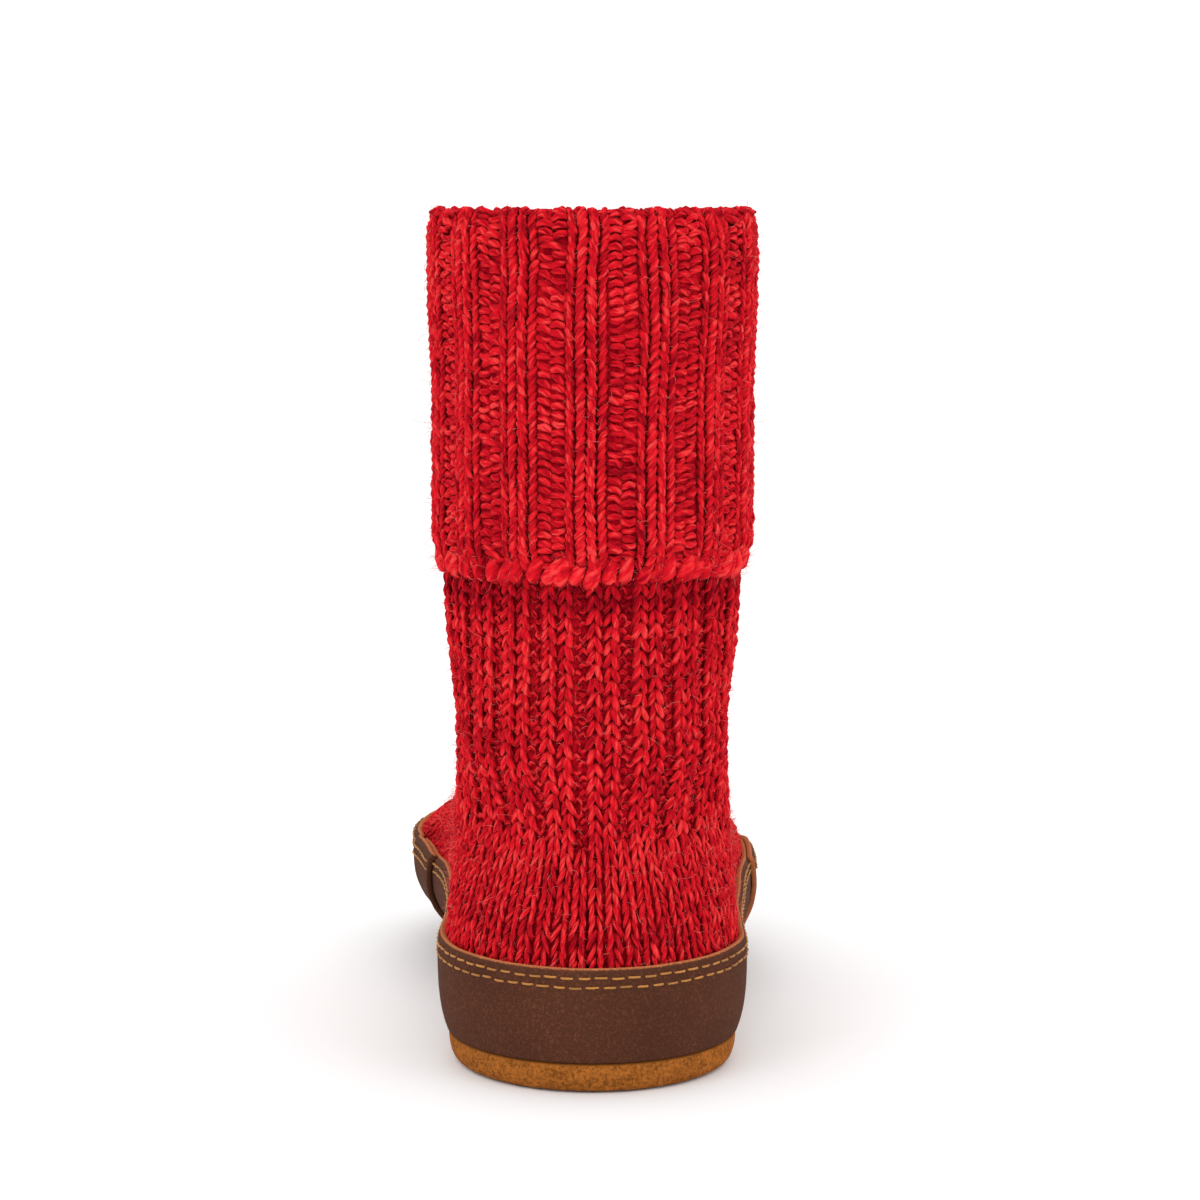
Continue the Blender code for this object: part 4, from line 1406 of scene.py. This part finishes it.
def make_seams():
    """Two rows of stitches along the rands' top edge."""
    sizes = settings().leather
    rng = np.random.default_rng(SEED + 3)
    thread = Strands(sides=6)
    toe_from = rand_ends()[0]
    share = np.array((0.0, 0.12, 0.35, 0.65, 0.88, 1.0))
    raised = np.array((-0.8, 0.2, 0.45, 0.45, 0.2, -0.8))
    thick = np.array((0.8, 1, 1, 1, 1, 0.8))
    heel_part = (SEAM_ENDS - toe_from, toe_from - SEAM_ENDS, False)
    toe_part = (toe_from - SEAM_UNDER_STEP, 2 * np.pi - toe_from + SEAM_UNDER_STEP, True)
    for below in (sizes.first_row, sizes.second_row):
        for start, end, stepped in (heel_part, toe_part):
            line, out = seam_line(start, end, below, stepped)
            walked = np.concatenate([[0], np.cumsum(np.linalg.norm(np.diff(line, axis=0), axis=1))])
            count = int(walked[-1] / sizes.stitch_pitch)
            begins = (np.arange(count) + 0.1) * walked[-1] / count
            lengths = sizes.stitch_length * rng.uniform(0.9, 1.05, (count, 1))
            places = begins[:, None] + share[None] * lengths
            centres = np.stack([np.interp(places, walked, line[:, k]) for k in range(3)], axis=-1)
            away = np.stack([np.interp(places, walked, out[:, k]) for k in range(3)], axis=-1)
            centres = centres + away * (raised * sizes.thread * 0.75)[None, :, None]
            uneven = rng.normal(0, 0.10, (count, 1)) + rng.normal(0, 0.03, places.shape)
            centres[..., 2] += uneven * MM
            radii = np.full(places.shape, sizes.thread / 2) * thick
            thread.add(centres, radii, away[:, 2], rng.random(count), np.full(places.shape, 0.6))
    finish_piece(thread.piece("rand_seams"), thread_finish(), "nubuck")


def slab(name, sections, columns):
    """A flat body from rings of (height, out), top to bottom, round the last's outline."""
    heights, outs_of_rings = np.array(sections).T
    rows = len(sections) - 1

    def ring(angle, row):
        points = sole_outline(np.interp(row, np.arange(rows + 1), outs_of_rings), angle)
        points[..., 2] = np.interp(row, np.arange(rows + 1), heights)
        return in_frame(points)

    def wall(run, rise):
        return ring(2 * np.pi * run, rows * (1 - rise))

    def cap(row):
        def place(over, run):
            angle = np.pi * run
            inner = ring(angle, row)
            share = (1 - np.cos(np.pi * over)) / 2
            return inner + share[:, None] * (ring(2 * np.pi - angle, row) - inner)
        return place

    parts = [
        laid_grid(name, columns, rows, wall)[0],
        laid_grid(name + "_top", 24, columns // 2, cap(0.0))[0],
        laid_grid(name + "_under", 24, columns // 2, cap(float(rows)))[0],
    ]
    deselect()
    for part in parts:
        part.select_set(True)
    bpy.context.view_layer.objects.active = parts[0]
    bpy.ops.object.join()
    piece = bpy.context.object
    close_body(piece, 2e-6)
    bpy.ops.object.shade_smooth_by_angle(angle=np.radians(50))
    return piece


def make_sole():
    """The suede sole, with rounded lower edges. Its height mask darkens the joint above it."""
    edge = RAND_STACK - SOLE_LEDGE
    small = (SOLE_THICKNESS - SOLE_EDGE_HEIGHT) / 2
    sections = [(SOLE_THICKNESS, edge - small), (SOLE_THICKNESS - small * 0.3, edge - small * 0.3),
                (SOLE_THICKNESS - small, edge)]
    for turn in np.radians(np.linspace(0, 90, 9)):
        sections.append((SOLE_EDGE_HEIGHT * (1 - np.sin(turn)), edge - SOLE_EDGE_ROUND * (1 - np.cos(turn))))
    piece = slab("sole_suede", sections, 360)
    own = read_points(piece.data) - SHIFT
    give_mask(piece.data, "height", own[:, 2] - lift(own[:, 1]))
    finish_piece(piece, suede_finish(), "suede", "sole")


def make_footbed():
    """The felt footbed, its top edge rounded."""
    inside = -KNIT_WALL - GAP
    top = FEATHER_HEIGHT + INSOLE_THICKNESS
    sections = [(top - INSOLE_THICKNESS / 4 * (1 - np.sin(turn)),
                 inside - INSOLE_THICKNESS / 3 * np.sin(turn))
                for turn in np.radians(np.linspace(90, 0, 6))]
    sections.append((FEATHER_HEIGHT, inside))
    finish_piece(slab("footbed_felt", sections, 240), felt_finish(), "footbed", "insole")


def make_fuzz():
    """Loose hairs on the wool: short ones all over, longer ones here and there."""
    knit = settings().knit
    rng = np.random.default_rng(SEED + 4)
    hairs = Strands(sides=3, flat=1.0)
    for name, share in HAIR_SHARES.items():
        mesh = bpy.data.objects[name].data
        high = np.where(read_mask(mesh, "depth") > 0.55)[0]
        count = int(knit.hairs * share)
        pick = rng.choice(high, count)
        root, out = read_points(mesh)[pick], read_points(mesh, "normal")[pick]
        wander = unit(rng.normal(0, 1, (count, 3)))
        lie = unit(out * rng.uniform(0.25, 1.0, (count, 1)) + 0.9 * wander)
        into_wool = np.sum(lie * out, axis=1, keepdims=True) < 0.05
        lie = np.where(into_wool, unit(lie + out * 1.2), lie)
        bend = unit(lie + 0.8 * unit(rng.normal(0, 1, (count, 3))))
        half = (knit.hair_length * rng.gamma(2.6, 0.38, count) * 0.5)[:, None]
        centres = np.stack([root - out * 0.2 * MM, root + lie * half, root + lie * half + bend * half], axis=1)
        radii = np.full((count, 3), knit.hair_width / 2) * np.array((1.0, 0.9, 0.35))
        side = unit(np.cross(lie, bend) + 1e-4)
        hairs.add(centres, radii, side, rng.random(count), np.full((count, 3), 0.8))
    finish_piece(hairs.piece("wool_fuzz"), hair_finish(), "wool")


def make_floor():
    """A pale floor, a little below the sole."""
    deselect()
    bpy.ops.mesh.primitive_circle_add(vertices=96, radius=6.0, fill_type="NGON", location=(0, 0, -0.0005))
    floor = bpy.context.object
    floor.name = "studio_floor"
    paint = Finish("floor paper", 0.95, specular=0.1)
    paint.base(paint.blend(paint.noise(3.0), (0.92, 0.92, 0.92), (0.94, 0.94, 0.94)))
    floor.data.materials.append(paint.material)


def make_lights():
    """A bright sky and three soft lamps."""
    studio = settings().studio
    scene = bpy.context.scene
    world = bpy.data.worlds.new("studio air")
    world.use_nodes = True
    sky = world.node_tree.nodes["Background"]
    sky.inputs["Color"].default_value = (1.0, 1.0, 1.0, 1.0)
    sky.inputs["Strength"].default_value = studio.sky
    scene.world = world
    scene.view_settings.view_transform = "Standard"
    lights = (
        ("key", (-0.85, -1.15, 1.15), 0.9, studio.light),
        ("fill", (1.05, -0.95, 0.75), 0.9, studio.light * 0.55),
        ("top", (0.0, 0.25, 1.45), 1.0, studio.light * 0.6),
    )
    for name, place, size, power in lights:
        deselect()
        bpy.ops.object.light_add(type="AREA", location=place)
        lamp = bpy.context.object
        lamp.name = "light_" + name
        lamp.data.shape = "DISK"
        lamp.data.size = size
        lamp.data.energy = power
        aim = np.array((0.0, -0.05, 0.09)) - np.array(place)
        flat = np.hypot(aim[0], aim[1])
        lamp.rotation_euler = (np.arctan2(flat, -aim[2]), 0.0, np.arctan2(-aim[0], aim[1]))


def make_camera():
    """The camera of the photo, straight behind the heel."""
    studio = settings().studio
    deselect()
    bpy.ops.object.camera_add(
        location=(SHIFT[0] + studio.aside, SHIFT[1] - studio.distance, studio.height),
        rotation=(np.pi / 2 - studio.pitch, 0.0, 0.0),
    )
    camera = bpy.context.object
    camera.name = "photo_camera"
    camera.data.lens = studio.lens
    camera.data.sensor_width = 36.0
    camera.data.sensor_fit = "HORIZONTAL"
    bpy.context.scene.camera = camera


class SLIPPER_OT_studio(bpy.types.Operator):
    """Floor, lights and camera"""
    bl_idname = "slipper.studio"
    bl_label = "Studio"
    bl_options = {"REGISTER", "UNDO"}

    def execute(self, context):
        make_floor()
        make_lights()
        make_camera()
        return {"FINISHED"}


class SLIPPER_OT_ground(bpy.types.Operator):
    """Wall of the knit behind its stitches"""
    bl_idname = "slipper.ground"
    bl_label = "Knit ground"
    bl_options = {"REGISTER", "UNDO"}

    def execute(self, context):
        make_ground()
        return {"FINISHED"}


class SLIPPER_OT_cuff(bpy.types.Operator):
    """Stitches of the turned-down cuff"""
    bl_idname = "slipper.cuff"
    bl_label = "Cuff"
    bl_options = {"REGISTER", "UNDO"}

    def execute(self, context):
        make_cuff()
        return {"FINISHED"}


class SLIPPER_OT_cast_on(bpy.types.Operator):
    """Thick loops that end the cuff"""
    bl_idname = "slipper.cast_on"
    bl_label = "Cast-on edge"
    bl_options = {"REGISTER", "UNDO"}

    def execute(self, context):
        make_cast_on()
        return {"FINISHED"}


class SLIPPER_OT_foot(bpy.types.Operator):
    """Stitches of shaft and foot"""
    bl_idname = "slipper.foot"
    bl_label = "Shaft and foot"
    bl_options = {"REGISTER", "UNDO"}

    def execute(self, context):
        make_foot()
        return {"FINISHED"}


class SLIPPER_OT_rands(bpy.types.Operator):
    """Leather strips round heel and toes"""
    bl_idname = "slipper.rands"
    bl_label = "Rands"
    bl_options = {"REGISTER", "UNDO"}

    def execute(self, context):
        make_rands()
        return {"FINISHED"}


class SLIPPER_OT_seams(bpy.types.Operator):
    """Sewing along the rands"""
    bl_idname = "slipper.seams"
    bl_label = "Seams"
    bl_options = {"REGISTER", "UNDO"}

    def execute(self, context):
        make_seams()
        return {"FINISHED"}


class SLIPPER_OT_sole(bpy.types.Operator):
    """Suede sole"""
    bl_idname = "slipper.sole"
    bl_label = "Sole"
    bl_options = {"REGISTER", "UNDO"}

    def execute(self, context):
        make_sole()
        return {"FINISHED"}


class SLIPPER_OT_footbed(bpy.types.Operator):
    """Felt footbed"""
    bl_idname = "slipper.footbed"
    bl_label = "Footbed"
    bl_options = {"REGISTER", "UNDO"}

    def execute(self, context):
        make_footbed()
        return {"FINISHED"}


class SLIPPER_OT_fuzz(bpy.types.Operator):
    """Loose hairs on the wool, laid once its stitches are made"""
    bl_idname = "slipper.fuzz"
    bl_label = "Fuzz"
    bl_options = {"REGISTER", "UNDO"}

    def execute(self, context):
        make_fuzz()
        return {"FINISHED"}


OPERATORS = (
    SLIPPER_OT_studio,
    SLIPPER_OT_ground,
    SLIPPER_OT_cuff,
    SLIPPER_OT_cast_on,
    SLIPPER_OT_foot,
    SLIPPER_OT_rands,
    SLIPPER_OT_seams,
    SLIPPER_OT_sole,
    SLIPPER_OT_footbed,
    SLIPPER_OT_fuzz,
)


class SLIPPER_PT_panel(bpy.types.Panel):
    """Sizes, colours and pieces of the slipper sock"""
    bl_idname = "SLIPPER_PT_panel"
    bl_label = "Slipper sock"
    bl_space_type = "VIEW_3D"
    bl_region_type = "UI"
    bl_category = "Slipper"

    def draw(self, context):
        owner = settings()
        for group in (owner.knit, owner.leather, owner.colours, owner.studio):
            box = self.layout.box()
            for name in group.bl_rna.properties.keys():
                if name not in ("rna_type", "name"):
                    box.prop(group, name)
        for operator in OPERATORS:
            self.layout.operator(operator.bl_idname)


CLASSES = (KnitSizes, LeatherSizes, Colours, Studio, SockSettings, *OPERATORS, SLIPPER_PT_panel)


def register():
    for part in CLASSES:
        bpy.utils.register_class(part)
    bpy.types.Scene.slipper_sock = PointerProperty(type=SockSettings)


def unregister():
    del bpy.types.Scene.slipper_sock
    for part in reversed(CLASSES):
        bpy.utils.unregister_class(part)


def main():
    """Makes every piece in order."""
    register()
    for operator in OPERATORS:
        getattr(bpy.ops.slipper, operator.bl_idname.split(".")[1])()


if __name__ == "__main__":
    main()
